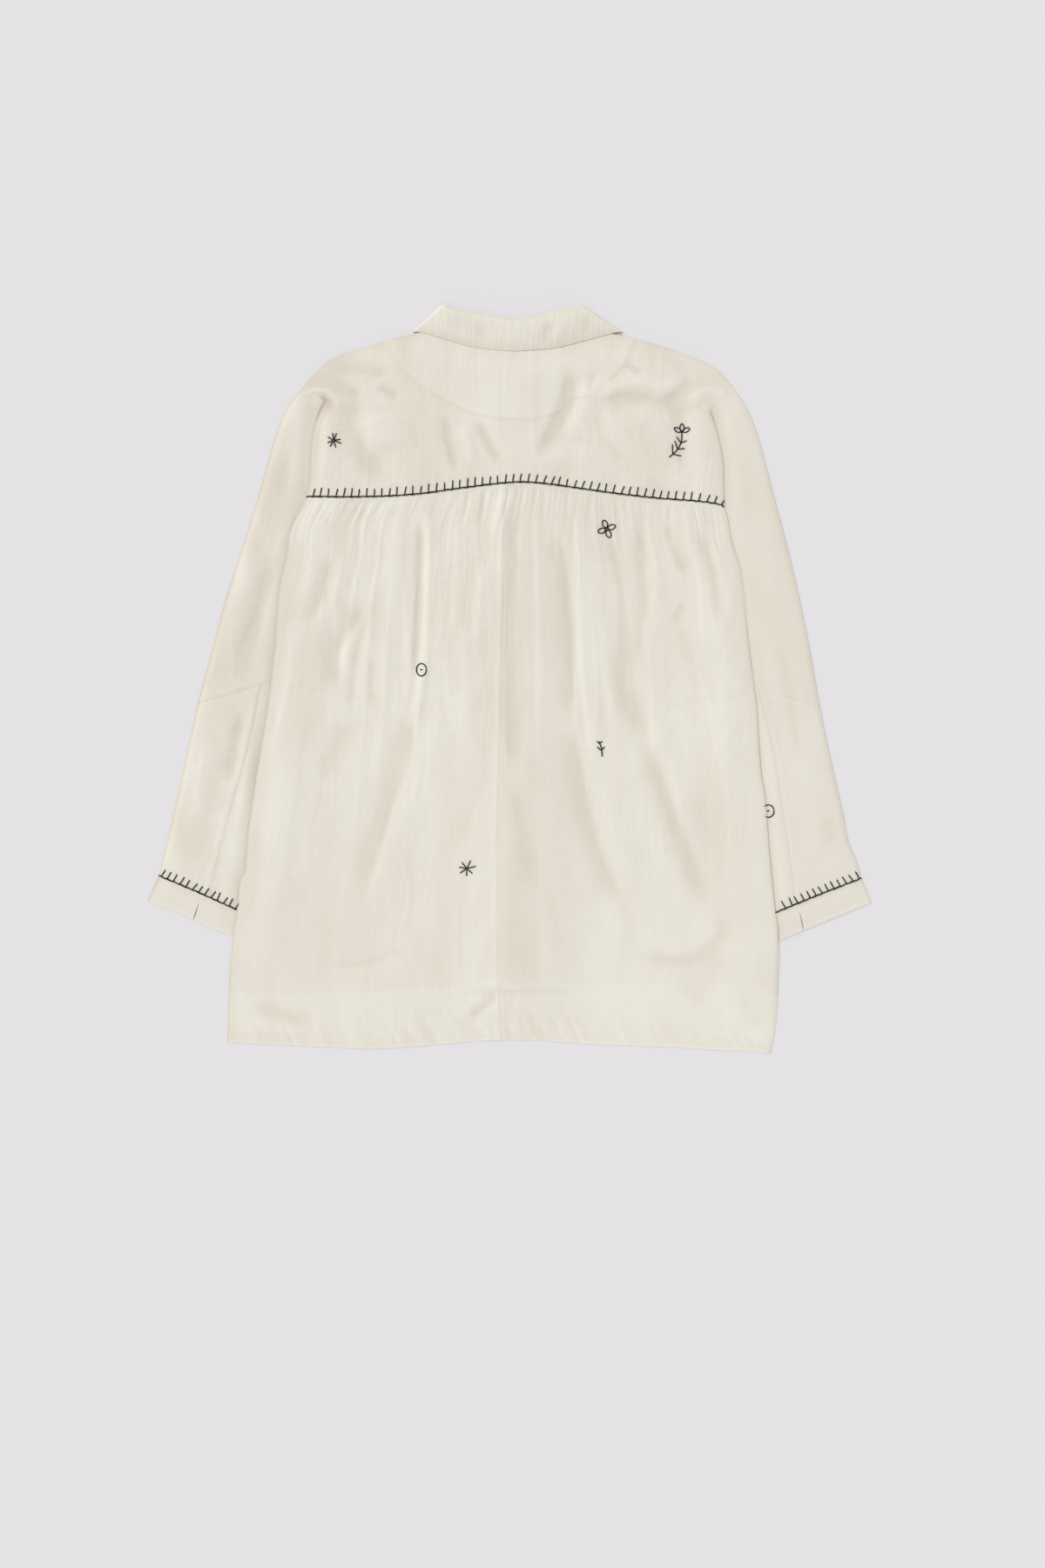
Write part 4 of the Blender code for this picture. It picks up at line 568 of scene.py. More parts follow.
def gathers(x, y):
    """Small pleats of uneven pitch, height and length that start at the yoke seam."""
    start, down = flow_of(x, y)
    draw = np.random.default_rng(GATHER_SEED)
    steps = draw.uniform(0.55, 1.45, GATHER_COUNT)
    room = YOKE_SEAM[-1][0] - YOKE_SEAM[0][0] - 0.010
    places = YOKE_SEAM[0][0] + 0.004 + np.cumsum(steps) / steps.sum() * room
    heights = draw.uniform(0.45, 1.0, GATHER_COUNT)
    reaches = draw.uniform(0.012, 0.055, GATHER_COUNT)
    reaches = reaches * np.where(draw.uniform(size=GATHER_COUNT) > 0.75, 2.4, 1.0)
    drifts = draw.normal(0, 0.080, GATHER_COUNT)
    widths = draw.uniform(0.0014, 0.0028, GATHER_COUNT)
    valley = draw.uniform(size=GATHER_COUNT) < VALLEY_SHARE
    heights = np.where(valley, -1.25 * heights, 0.75 * heights)
    widths = np.where(valley, 0.70 * widths, widths)
    drifts = drifts + 0.10 * (places - YOKE_SEAM[len(YOKE_SEAM) // 2][0]) / YOKE_SEAM[-1][0]
    total = np.zeros(np.shape(x))
    below = np.maximum(down, 0.0)
    rise = 0.12 + 0.88 * smoothstep(0.002, 0.011, below)
    for place, height, reach, drift, width in zip(places, heights, reaches, drifts, widths):
        middle = place + drift * below + 0.0012 * np.sin(below * 70 + place * 300)
        spread = width + below * 0.035
        fade = np.exp(-((below / reach) ** 1.6))
        total += height * fade * bell(start - middle, spread)
    return GATHER_HEIGHT * rise * total


def cloth_grain(x, y, seed, strength=1.0):
    """The soft crinkle of worn silk: broad sags, long wrinkles and short creases."""
    warp_x = x + 0.010 * smooth_noise(x, y, 0.050, 0.050, seed + 2)
    warp_y = y + 0.010 * smooth_noise(x, y, 0.050, 0.050, seed + 3)
    broad = 0.00070 * smooth_noise(warp_x, warp_y, 0.052, 0.080, seed)
    middle = 0.00040 * smooth_noise(warp_x, warp_y, 0.020, 0.034, seed + 5)
    patches = smoothstep(-0.3, 0.6, smooth_noise(x, y, 0.060, 0.060, seed + 9))
    long = 0.00042 * patches * creases(warp_x, warp_y, 0.015, 0.060, seed + 13)
    slant = smooth_noise(x, y, 0.070, 0.070, seed + 15)
    short = 0.00022 * creases(x + slant * 0.8 * y, y - slant * 0.8 * x, 0.010, 0.017, seed + 17, 2.6)
    fine = 0.00008 * smooth_noise(warp_x, warp_y, 0.0048, 0.0075, seed + 19)
    return strength * (broad + middle + long + short + fine)


def hanging_wrinkles(x, y, seed):
    """Wrinkles that follow the cloth down from the yoke, uneven in width, length and depth."""
    start, down = flow_of(x, y)
    bend = start + 0.006 * smooth_noise(start, down, 0.060, 0.140, seed)
    wide = 0.00050 * smooth_noise(bend, down, 0.0150, 0.120, seed + 1)
    ridges = 0.00065 * creases(bend, down, 0.0190, 0.150, seed + 2, 3.2)
    narrow = 0.00015 * smooth_noise(bend, down, 0.0065, 0.070, seed + 3)
    fade = 0.35 + 0.65 * bell(np.clip(down, 0, None), 0.42)
    return fade * (wide + ridges + narrow)


def hem_puckers(x, y):
    """A turned hem: its thickness, the dip at its stitching, and small slanting puckers."""
    up = y - edge_y(HEM_PATH, x)
    turned = 0.00022 * (1 - smoothstep(HEM_DEPTH - 0.001, HEM_DEPTH + 0.001, up))
    stitch = -0.00030 * bell(up - HEM_DEPTH, 0.0012)
    slant = x + 0.5 * up
    waves = smooth_noise(slant, up * 0.2, 0.0060, 0.02, 77)
    waves = waves + 0.6 * smooth_noise(slant, up * 0.2, 0.013, 0.02, 78)
    return turned + stitch + 0.00048 * waves * bell(up - 0.008, 0.016)


def centre_seam_dent(x, y):
    """The groove of the centre-back seam, and its pressed allowance on the wearer's left."""
    off = x - edge_x(CENTRE_PATH, y)
    groove = -0.00004 * bell(off, 0.0013)
    allowance = 0.00022 * (smoothstep(-0.0080, -0.0055, off) - smoothstep(-0.0016, -0.0002, off))
    ridge = 0.00022 * bell(off + 0.0022, 0.0016)
    return groove + allowance + ridge


def edge_roll(x, y):
    """The body's side and armhole edges turn down to the front that they are sewn to."""
    near = np.clip(inside_sides(x, y), 0, None)
    return -0.0007 * bell(near, 0.0030) * (1 - smoothstep(0.285, 0.304, y))


def side_calm(x, y):
    """The cloth lies quieter beside its side edges, where it is sewn to the front."""
    return 0.30 + 0.70 * smoothstep(0.000, 0.014, inside_sides(x, y))


def lower_right(x, y):
    """1 over the back's lower part on the wearer's right, which lies smoother than the rest."""
    return smoothstep(0.020, 0.110, x) * smoothstep(-0.180, -0.270, y)


def back_height(x, y):
    below_seam = edge_y(SEAM_PATH, x) - y
    calm = 1 - 0.85 * bell(np.clip(y - edge_y(HEM_PATH, x), 0, None), 0.012)
    calm = calm * side_calm(x, y)
    share = smoothstep(0.0, 0.022, below_seam)
    calm = calm * (0.70 + 0.30 * smoothstep(-0.20, 0.02, y)) * (1 - 0.20 * lower_right(x, y))
    calm = calm * (1 - 0.16 * smoothstep(-0.02, 0.06, x))
    own = fold_heights(x, y, BACK_FOLDS) + cloth_grain(x, y, WRINKLE_SEED, 0.85) + hanging_wrinkles(x, y, 301)
    at_seam = yoke_relief(x, edge_y(SEAM_PATH, x) * np.ones(np.shape(y)))
    extra = body_puff(x, y) + (own * share + at_seam * (1 - share)) * calm + gathers(x, y)
    extra = extra + hem_puckers(x, y) + centre_seam_dent(x, y)
    rest = under_back(x, y)
    seam = -0.0004 * bell(np.clip(below_seam, 0, None), 0.0020)
    seam = seam - 0.00034 * bell(below_seam - 0.0048, 0.0011)
    least = rest + 0.00020 * smoothstep(0.000, 0.005, y - edge_y(HEM_PATH, x)) + front_relief(x, y)
    return soft_floor(rest + extra + seam, least) + edge_roll(x, y) * 0.8


def yoke_relief(x, y):
    calm = side_calm(x, y) + (1 - side_calm(x, y)) * smoothstep(0.285, 0.302, y)
    lively = 1.10 - 0.36 * bell(x + 0.030, 0.120)
    lively = lively - 0.30 * np.exp(-(((x - 0.005) / 0.090) ** 2) - ((y - 0.335) / 0.045) ** 2)
    return calm * (fold_heights(x, y, YOKE_FOLDS) + fold_heights(x, y, SHOULDER_FOLDS)
                   + lively * cloth_grain(x, y, WRINKLE_SEED + 40))


def yoke_height(x, y):
    above_seam = y - edge_y(SEAM_PATH, x)
    extra = body_puff(x, y) + yoke_relief(x, y)
    centre = -0.00022 * bell(x - (0.001 - 0.035 * (0.355 - y)), 0.0012)
    facing = facing_zone(x, y)
    above = np.clip(above_seam, 0, None)
    tucks = 0.45 * gathers(x, 2 * edge_y(SEAM_PATH, x) - y) * bell(above, 0.009)
    rest = under_back(x, y) + LAYER * 0.8 * facing
    edge = 0.00045 * bell(above, 0.006)
    least = rest + 0.00025 + front_relief(x, y)
    return soft_floor(rest + extra + centre + tucks + edge, least) + edge_roll(x, y) * 0.8


def linked(name, data):
    """A new object in the scene."""
    obj = bpy.data.objects.new(name, data)
    bpy.context.scene.collection.objects.link(obj)
    return obj


def give_points(mesh, name, kind, slot, values):
    """Gives each point of a mesh a value that the silk's finish reads."""
    numbers = np.asarray(values, np.float32).ravel()
    mesh.attributes.new(name, kind, "POINT").data.foreach_set(slot, numbers)


def silk_sheet(name, rows, finish, wall=SILK, closed=False, tones_and_shade=None, flow=None, left_out=()):
    """A piece of cloth: a surface through rows of points, given its thickness by Solidify."""
    rows = np.asarray(rows, float)
    count_rows, count_columns = rows.shape[:2]
    index = np.arange(count_rows * count_columns).reshape(count_rows, count_columns)
    if closed:
        index = np.concatenate([index, index[:, :1]], axis=1)
    faces = np.stack([index[:-1, :-1], index[1:, :-1], index[1:, 1:], index[:-1, 1:]], axis=2)
    keep = np.ones(faces.shape[:2], bool)
    for row, column in left_out:
        keep[row, column] = False
    mesh = bpy.data.meshes.new(name)
    mesh.from_pydata(rows.reshape(-1, 3).tolist(), [], faces[keep].reshape(-1, 4).tolist())
    # Each point's tone: random tone, and also painted shade in hollows, troughs, creases and along edges, and
    # a painted highlight on crests.
    if tones_and_shade is not None:
        give_points(mesh, "tone", "FLOAT", "value", tones_and_shade)
    if flow is not None:
        give_points(mesh, "flow", "FLOAT_VECTOR", "vector", flow)
    mesh.materials.append(finish)
    mesh.shade_smooth()
    obj = linked(name, mesh)
    solid = obj.modifiers.new("wall", "SOLIDIFY")
    solid.thickness = wall
    solid.offset = 0.0
    flat_shade = obj.modifiers.new("even shade up to the rim", "WEIGHTED_NORMAL")
    flat_shade.mode = "FACE_AREA"
    flat_shade.weight = 95
    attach(obj, "root")
    return obj


def with_height(plan, heights):
    return np.concatenate([plan, np.asarray(heights)[..., None]], axis=2)


def steps_for(length, step):
    return max(2, int(round(length / step)))


def facing_up(rows):
    """The rows in the order that makes the faces' normals point up."""
    a, b, c = rows[0, 0], rows[1, 0], rows[0, 1]
    return rows if np.cross(b - a, c - a)[2] > 0 else rows[:, ::-1]


def hollows(rows, passes=14):
    """How far each point lies below its neighbourhood, in millimetres, for a faint shade."""
    z = rows[..., 2]
    wide = z.copy()
    for _ in range(passes):
        padded = np.pad(wide, 1, mode="edge")
        wide = (padded[:-2, 1:-1] + padded[2:, 1:-1] + padded[1:-1, :-2] + padded[1:-1, 2:]) / 4
    return np.clip((wide - z) * 1000, -1.0, 1.0)


def flow_rows(x, y, amount):
    """For the finest wrinkles: place along the yoke seam, distance down from it, and strength."""
    start, down = flow_of(x, y)
    bend = start + 0.004 * smooth_noise(start, down, 0.040, 0.060, 811)
    return np.stack([bend, down, np.broadcast_to(amount, np.shape(x))], axis=-1)


def shaded(rows, steps=0.0, folds=()):
    """The tone of each point: painted shade in hollows and troughs, and a painted highlight on crests."""
    near, wide = hollows(rows, 8), hollows(rows, 60)
    troughs = fold_heights(rows[..., 0], rows[..., 1], [fold for fold in folds if fold[2] < 0]) * 1000
    both = 0.9 * near + 0.8 * wide
    return np.where(both > 0, -1.0 * both, -0.45 * both) + 0.22 * np.clip(troughs, -2.5, 0) + steps + 0.15


def uneven_shares(length, step, fine, start=0.0, end=0.0):
    """Shares from 0 to 1, with fine steps over the first and last lengths given."""
    first = np.linspace(0, start, steps_for(start, fine) + 1)[:-1] if start else np.zeros(0)
    middle = np.linspace(start, length - end, steps_for(length - start - end, step) + 1)
    last = np.linspace(length - end, length, steps_for(end, fine) + 1)[1:] if end else np.zeros(0)
    return np.concatenate([first, middle, last]) / length


def edge_shade(x, y, beyond):
    """Painted shade beside the body's side edges: on the body itself, or on the sleeve beyond them, strongest
    where each armhole crease starts.
    """
    inside = inside_sides(x, y)
    away = np.clip(-inside if beyond else inside, 0, None)
    starts = (ARMHOLE_LEFT[0], ARMHOLE_RIGHT[0])
    lower = 1 - smoothstep(-0.001, 0.009, y - np.where(x < 0, starts[0][1], starts[1][1]))
    start_shade = sum(np.exp(-(((x - a) / 0.012) ** 2) - ((y - b + 0.008) / 0.014) ** 2) for a, b in starts)
    lower = lower * (1 + 1.8 * start_shade)
    if beyond:
        return -(1.0 * bell(away, 0.0018) + 0.45 * bell(away, 0.0090)) * lower
    # The painted shade is deeper on the wearer's left, where the key light falls on the edge's fold.
    key_side_shade = np.where(x < 0, 2.0, 0.9)
    return -key_side_shade * (0.75 * bell(away, 0.0016) + 0.34 * bell(away, 0.0080)) * lower


def drape_shade(x, y, seed):
    """Broad soft patches of deeper tone, drawn out in the direction in which the cloth hangs."""
    start, down = flow_of(x, y)
    bend = start + 0.012 * smooth_noise(start, down, 0.050, 0.090, seed)
    broad = smooth_noise(bend, down, 0.030, 0.110, seed + 1)
    narrow = smooth_noise(bend, down, 0.013, 0.055, seed + 2)
    return DRAPE_SHADE * (broad + 0.5 * narrow) * (0.75 + 0.25 * smoothstep(-0.20, 0.02, y))


def shifted(path, dx=0.0, dy=0.0):
    return np.asarray(path, float) + np.array([dx, dy])


def yoke_surface(x, y):
    above = np.clip(y - edge_y(SEAM_PATH, x), 0, None)
    return yoke_height(x, y) - 0.0005 * bell(above, 0.0009)


def make_yoke():
    """The yoke, whose lower edge is turned under and lies on the back's gathers."""
    left, neck, right = smooth_path(SHOULDER_LEFT), smooth_path(BACK_NECK), smooth_path(SHOULDER_RIGHT)[::-1]
    side_left = np.vstack([smooth_path(YOKE_LAP_LEFT)[:-1], smooth_path(ARMHOLE_LEFT[1:])])
    side_right = np.vstack([smooth_path(YOKE_LAP_RIGHT)[:-1], smooth_path(ARMHOLE_RIGHT[1:])])
    top = np.vstack([side_left[:1], left, neck, right, side_right[:1]])
    across = uneven_shares(0.47, 0.0019, 0.0010, 0.006, 0.006)
    down = uneven_shares(0.17, 0.0019, 0.0006, 0.0, 0.007)
    plan = patch(top, SEAM_PATH, side_left, side_right, across, down)
    rows = facing_up(with_height(plan, yoke_surface(plan[..., 0], plan[..., 1])))
    x, y = rows[..., 0], rows[..., 1]
    inner = facing_zone(x, y)
    edge = bell(np.clip(y - edge_y(SEAM_PATH, x), 0, None), 0.0030)
    below = edge_y(FACING_PATH, np.clip(x, FACING_EDGE[0][0], FACING_EDGE[-1][0])) - y
    line = bell(below - 0.0012, 0.0014) * (x > FACING_EDGE[0][0]) * (x < FACING_EDGE[-1][0])
    # Painted shade along the shoulder edges, where the cloth turns down over them.
    outer = bell(np.clip(edge_y(TOP_EDGE, x) - y, 0, None), 0.0020)
    steps = 0.10 * inner + 0.20 * edge - 0.30 * line - 0.85 * outer + edge_shade(x, y, False) - 0.15
    steps = steps + drape_shade(x, y, 611)
    # Painted shade in the fold of the left shoulder's puff.
    steps = steps - 0.45 * np.exp(-(((x + 0.185) / 0.035) ** 2) - ((y - 0.325) / 0.030) ** 2)
    patches = smoothstep(-0.4, 0.8, smooth_noise(x, y, 0.045, 0.045, 821))
    near_seam = bell(np.clip(y - edge_y(SEAM_PATH, x), 0, None), 0.020)
    return silk_sheet("cloth_yoke", rows, silk, tones_and_shade=shaded(rows, steps, YOKE_FOLDS + SHOULDER_FOLDS),
                      flow=flow_rows(x, y, 0.10 + 0.22 * patches + 0.25 * near_seam))


def make_back(side):
    """Half of the back, gathered into the yoke, from under its edge down to the turned hem."""
    start = CENTRE_SEAM[0][0]
    top, hem = shifted(SEAM_PATH, dy=SEAM_TUCK), HEM_PATH
    hem_start = CENTRE_SEAM[-1][0]
    head = np.array([[start, edge_y(top, start)]])
    foot = np.array([[hem_start, edge_y(hem, hem_start)]])
    centre = np.vstack([head, CENTRE_PATH[1:-1], foot])
    edge = smooth_path(SIDE_LEFT if side == "left" else SIDE_RIGHT)
    if side == "left":
        tucked = np.array([[edge[0, 0] + 0.0012, edge[0, 1] + SEAM_TUCK]])
        top = np.vstack([tucked, top[(top[:, 0] > tucked[0, 0]) & (top[:, 0] < start)], head])
        bottom = np.vstack([hem[hem[:, 0] < hem_start], foot])
        bottom[-1, 0] += SEAM_LAP
        top[-1, 0] += SEAM_LAP
        left, right = np.vstack([tucked, edge]), shifted(centre, dx=SEAM_LAP)
        across = uneven_shares(0.26, 0.00175, 0.0008, 0.005, 0.010)
    else:
        tucked = np.array([[edge[0, 0] - 0.0012, edge[0, 1] + SEAM_TUCK]])
        top = np.vstack([head, top[(top[:, 0] > start) & (top[:, 0] < tucked[0, 0])], tucked])
        bottom = np.vstack([foot, hem[hem[:, 0] > hem_start]])
        left, right = centre, np.vstack([tucked, edge])
        across = uneven_shares(0.26, 0.00175, 0.0008, 0.004, 0.005)
    down = uneven_shares(0.605, FINE_STEP + 0.0003, 0.0011, 0.012, 0.014)
    plan = patch(top, bottom, left, right, across, down)
    drop = LAP_DROP if side == "right" else 0.0
    rows = facing_up(with_height(plan, back_height(plan[..., 0], plan[..., 1]) - drop))
    x, y = rows[..., 0], rows[..., 1]
    below_front = 1 - smoothstep(-0.0015, 0.0015, y - edge_y(FRONT_HEM_PATH, x))
    hem_band = 1 - smoothstep(HEM_DEPTH - 0.0012, HEM_DEPTH + 0.0012, y - edge_y(HEM_PATH, x))
    band = smoothstep(BAND_LOW_X - 0.003, BAND_LOW_X + 0.002, x)
    band = band * (1 - smoothstep(BAND_HIGH_X - 0.001, BAND_HIGH_X + 0.002, x))
    steps = 0.40 * below_front - 0.35 * hem_band - 0.45 * band * (1 - below_front) + edge_shade(x, y, False)
    steps = steps + drape_shade(x, y, 621) * (1 - 0.5 * below_front) + 0.22 * lower_right(x, y)
    # Painted light along the hem's very edge, against the shade of its rim.
    steps = steps + 0.70 * bell(np.clip(y - edge_y(HEM_PATH, x), 0, None), 0.0022)
    off_centre = x - edge_x(CENTRE_PATH, y)
    steps = steps + 0.45 * bell(off_centre, 0.0016)
    steps = steps - 0.22 * bell(off_centre - 0.006, 0.004)
    for path in FRONT_SEAMS:
        off, share = beside_path(x, y, smooth_path(path))
        ends = smoothstep(0, 0.05, share) * smoothstep(0, 0.3, 1 - share)
        steps = steps - 0.32 * bell(off, 0.0013) * ends
    below_seam = np.clip(edge_y(SEAM_PATH, x) - y, 0, None)
    steps = steps + 0.30 * (1 - smoothstep(0.0030, 0.0045, below_seam))
    gathered = smoothstep(0.0040, 0.0090, below_seam) * np.exp(-((below_seam / 0.075) ** 1.3))
    patches = smoothstep(-0.4, 0.8, smooth_noise(x, y, 0.050, 0.070, 831))
    fine = 0.80 * gathered + (0.10 + 0.30 * patches) * smoothstep(0.02, 0.08, below_seam)
    return silk_sheet("cloth_back_" + side, rows, silk, tones_and_shade=shaded(rows, steps, BACK_FOLDS),
                      flow=flow_rows(x, y, fine))


def make_front(side):
    """Half of the front with its button band, under the back."""
    if side == "left":
        sign, cut, armhole, edge = -1, SHOULDER_CUT_LEFT, ARMHOLE_LEFT, smooth_path(SIDE_LEFT)
        shoulder, neck, hem = SHOULDER_LEFT, smooth_path(FRONT_NECK_LEFT), FRONT_HEM_PATH
        free_edge_x = BAND_HIGH_X
    else:
        sign, cut, armhole, edge = 1, SHOULDER_CUT_RIGHT, ARMHOLE_RIGHT, smooth_path(SIDE_RIGHT)
        shoulder, neck, hem = SHOULDER_RIGHT, smooth_path(FRONT_NECK_RIGHT), FRONT_HEM_PATH[::-1]
        free_edge_x = BAND_LOW_X
    shoulder = smooth_path(shoulder)
    band_x = CENTRE_X + sign * PLACKET_FLAT
    hem_y = edge_y(FRONT_HEM_PATH, hem[0, 0])
    edge = edge[edge[:, 1] > hem_y + 0.001]
    foot_edge = np.array([[edge_x(BODY_EDGE_LEFT if side == "left" else BODY_EDGE_RIGHT, hem_y), hem_y]])
    below = np.vstack([smooth_path(armhole), edge[1:], foot_edge])
    neck_end = np.vstack([neck[(band_x - neck[:, 0]) * sign < 0], [[band_x, edge_y(neck, band_x)]]])
    hem_end = np.vstack([foot_edge, hem[1:][(band_x - hem[1:, 0]) * sign < 0],
                         [[band_x, edge_y(FRONT_HEM_PATH, band_x)]]])
    down = corner_shares(smooth_path(cut), below, 6, steps_for(0.64, COARSE_STEP))
    inner = np.vstack([neck_end[-1:], hem_end[-1:]])
    plan = patch(np.vstack([shoulder, neck_end]), hem_end, np.vstack([smooth_path(cut)[:-1], below]), inner,
                 corner_shares(shoulder, neck_end, 42, 34), down)
    band = np.linspace(band_x, free_edge_x, 12)[1:]
    heights = inner[0, 1] + (inner[1, 1] - inner[0, 1]) * down
    plan = np.concatenate([plan, np.stack(np.meshgrid(band, heights), axis=2)], axis=1)
    x, y = plan[..., 0], plan[..., 1]
    heights = front_height(x, y, side) + front_relief(x, y) + edge_roll(x, y) * 0.3
    rows = facing_up(with_height(plan, heights))
    x, y = rows[..., 0], rows[..., 1]
    # Painted shade: the fronts' ridges, hollows when seen from below, are deeper in tone.
    tones_and_shade = 0.15 - 0.7 * front_relief(x, y) / 0.001 + drape_shade(x, y, 651)
    return silk_sheet("cloth_front_" + side, rows, silk, tones_and_shade=tones_and_shade, flow=flow_rows(x, y, 0.25))


def make_facing():
    """The half-moon facing inside the back neck."""
    neck = smooth_path(BACK_NECK)
    lower = FACING_PATH
    left = smooth_path([(-0.128, 0.3655), (-0.110, 0.3725), (-0.098, 0.3765)])
    right = smooth_path([(0.110, 0.3755), (0.120, 0.3720), (0.130, 0.3665)])
    top = np.vstack([lower[:1], left, neck[2:-2], right, lower[-1:]])
    top = shifted(top, dy=-0.0012)
    start, end = top[:1], top[-1:]
    plan = patch(top, np.vstack([start, lower[1:-1], end]), np.vstack([start, start + 1e-9]),
                 np.vstack([end, end + 1e-9]), even(90), even(30))[:, 1:-1]
    rows = with_height(plan, under_back(plan[..., 0], plan[..., 1]))
    return silk_sheet("cloth_neck_facing", facing_up(rows), silk_inside)


def sleeve_rows(table, first, last, shares):
    """Sections between two rows of a sleeve's table, smoothly interpolated."""
    line = smooth_path(table, 24)
    per_row = (len(line) - 1) // (len(table) - 1)
    at = (first + (last - first) * np.asarray(shares)) * per_row
    return np.stack([np.interp(at, np.arange(len(line)), line[:, k]) for k in range(line.shape[1])], axis=1)


def seam_profile(off):
    """A pressed seam seen from the right side: a fine groove with a soft ridge on one side."""
    groove = -0.00018 * bell(off, 0.0014)
    ridge = 0.00020 * (smoothstep(0.0004, 0.0020, off) - smoothstep(0.0060, 0.0085, off))
    return groove + ridge


def sleeve_top(x, y, width, w, strip, cut, elbow_off):
    """The upper layer's height across a sleeve, where w is the distance from its outer fold."""
    open_part = smoothstep(-0.005, 0.012, (width - w) - HIDDEN_WIDTH)
    fold = bell(w, 0.014)
    rise = OUTER_FOLD_RISE * fold + SLEEVE_RISE * (1 - fold)
    press = OUTER_FOLD_PRESS * bell(w, 0.0045)
    lively = fold_heights(x, y, SLEEVE_FOLDS) + cloth_grain(x, y, WRINKLE_SEED + 90, 0.9)
    life = np.where(x < 0, SLEEVE_LIFE["left"], SLEEVE_LIFE["right"])
    lively = lively * (1 - 0.75 * bell(w, 0.008)) * life
    own = SLEEVE_UNDER_BODY + open_part * soft_floor(rise + lively, 0.0003)
    inside = inside_sides(x, y)
    beside = np.where(inside > 0, bell(inside, 0.004), bell(inside, 0.012))
    beside = beside * smoothstep(0.165, 0.215, y)
    own = own * (1 - beside) + (yoke_height(x, y) - ARMHOLE_STEP) * beside
    if strip is not None:
        own = own + seam_profile((width - strip) - w) * open_part
    own = own + (seam_profile(elbow_off) - press) * open_part
    cut = np.array(cut)
    along = cut[1] - cut[0]
    t = np.clip(((x - cut[0, 0]) * along[0] + (y - cut[0, 1]) * along[1]) / (along @ along), 0, 1)
    away = np.hypot(x - cut[0, 0] - t * along[0], y - cut[0, 1] - t * along[1])
    share = 1 - smoothstep(0.0008, 0.030, away)
    return own * (1 - share) + (yoke_height(x, y) - LAP_DROP) * share


def half_round(low, high, outward, steps):
    """Heights and reaches of a half-round fold between two layers, from the upper to the lower one."""
    turns = np.radians(np.linspace(90, -90, steps + 2)[1:-1])
    radius = (high - low)[..., None] / 2
    return radius * np.cos(turns) * outward, low[..., None] + radius + radius * np.sin(turns)


def sleeve_grid(table, cut, first, last, shares, part, top_count):
    """Points round a sleeve for each section: its upper layer, outer fold, lower layer, inner fold."""
    sections = sleeve_rows(table, first, last, shares)
    outer, inner, strip = sections[:, 0:2], sections[:, 2:4], sections[:, 4]
    width = np.linalg.norm(inner - outer, axis=1)
    elbow = sleeve_rows(table, ELBOW_ROW, ELBOW_ROW, [0.0])[0]
    elbow_line = np.array([elbow[0:2], elbow[2:4]])

    def at(w):
        return outer[:, None] + (inner - outer)[:, None] * (w / width[:, None])[..., None]

    def upper(w):
        plan = at(w)
        run = elbow_line[1] - elbow_line[0]
        off = (run[0] * (plan[..., 1] - elbow_line[0, 1]) - run[1] * (plan[..., 0] - elbow_line[0, 0]))
        off = off / np.linalg.norm(run)
        lower_part = strip[:, None] if part != "whole" else None
        z = sleeve_top(plan[..., 0], plan[..., 1], width[:, None], w, lower_part, cut, off)
        return with_height(plan, z - lap)

    lap = {"whole": 0, "sleeve": 1, "strip": 2}[part] * LAP_DROP
    lowest = ON_FLOOR + lap

    def beneath(w):
        plan = at(w)
        clear = smoothstep(0.010, 0.026, w) * smoothstep(0.010, 0.026, width[:, None] - w)
        folds = fold_heights(plan[..., 0], plan[..., 1], UNDER_SLEEVE_FOLDS)
        return with_height(plan, lowest + clear * folds)

    def bent(edge_points, low, outward):
        reach, z = half_round(np.full(len(edge_points), low), edge_points[:, 2], outward, 5)
        direction = (inner - outer) / width[:, None]
        plan = edge_points[:, None, :2] + direction[:, None] * reach[..., None]
        return with_height(plan, z)

    edge = 0.0011
    ramp = even(top_count)
    inner_w, outer_w = width - edge, np.full(len(width), edge)
    seam_w = width - strip
    if part == "strip":
        w = inner_w[:, None] + (seam_w - SEAM_LAP - inner_w)[:, None] * ramp
        top = upper(w)
        lower_w = inner_w[:, None] - 0.0140 * even(5)
        bottom = beneath(lower_w)
        return np.concatenate([top[:, ::-1], bent(top[:, 0], lowest, 1.0), bottom], axis=1)
    start_w = inner_w if part == "whole" else seam_w
    w = start_w[:, None] + (outer_w - start_w)[:, None] * ramp
    top = upper(w)
    end_w = inner_w if part == "whole" else inner_w - 0.0125
    lower_w = outer_w[:, None] + (end_w - outer_w)[:, None] * even(22)
    bottom = beneath(lower_w)
    pieces = [top, bent(top[:, -1], lowest, -1.0), bottom]
    if part == "whole":
        pieces.append(bent(top[:, 0], lowest, 1.0)[:, ::-1])
    return np.concatenate(pieces, axis=1)


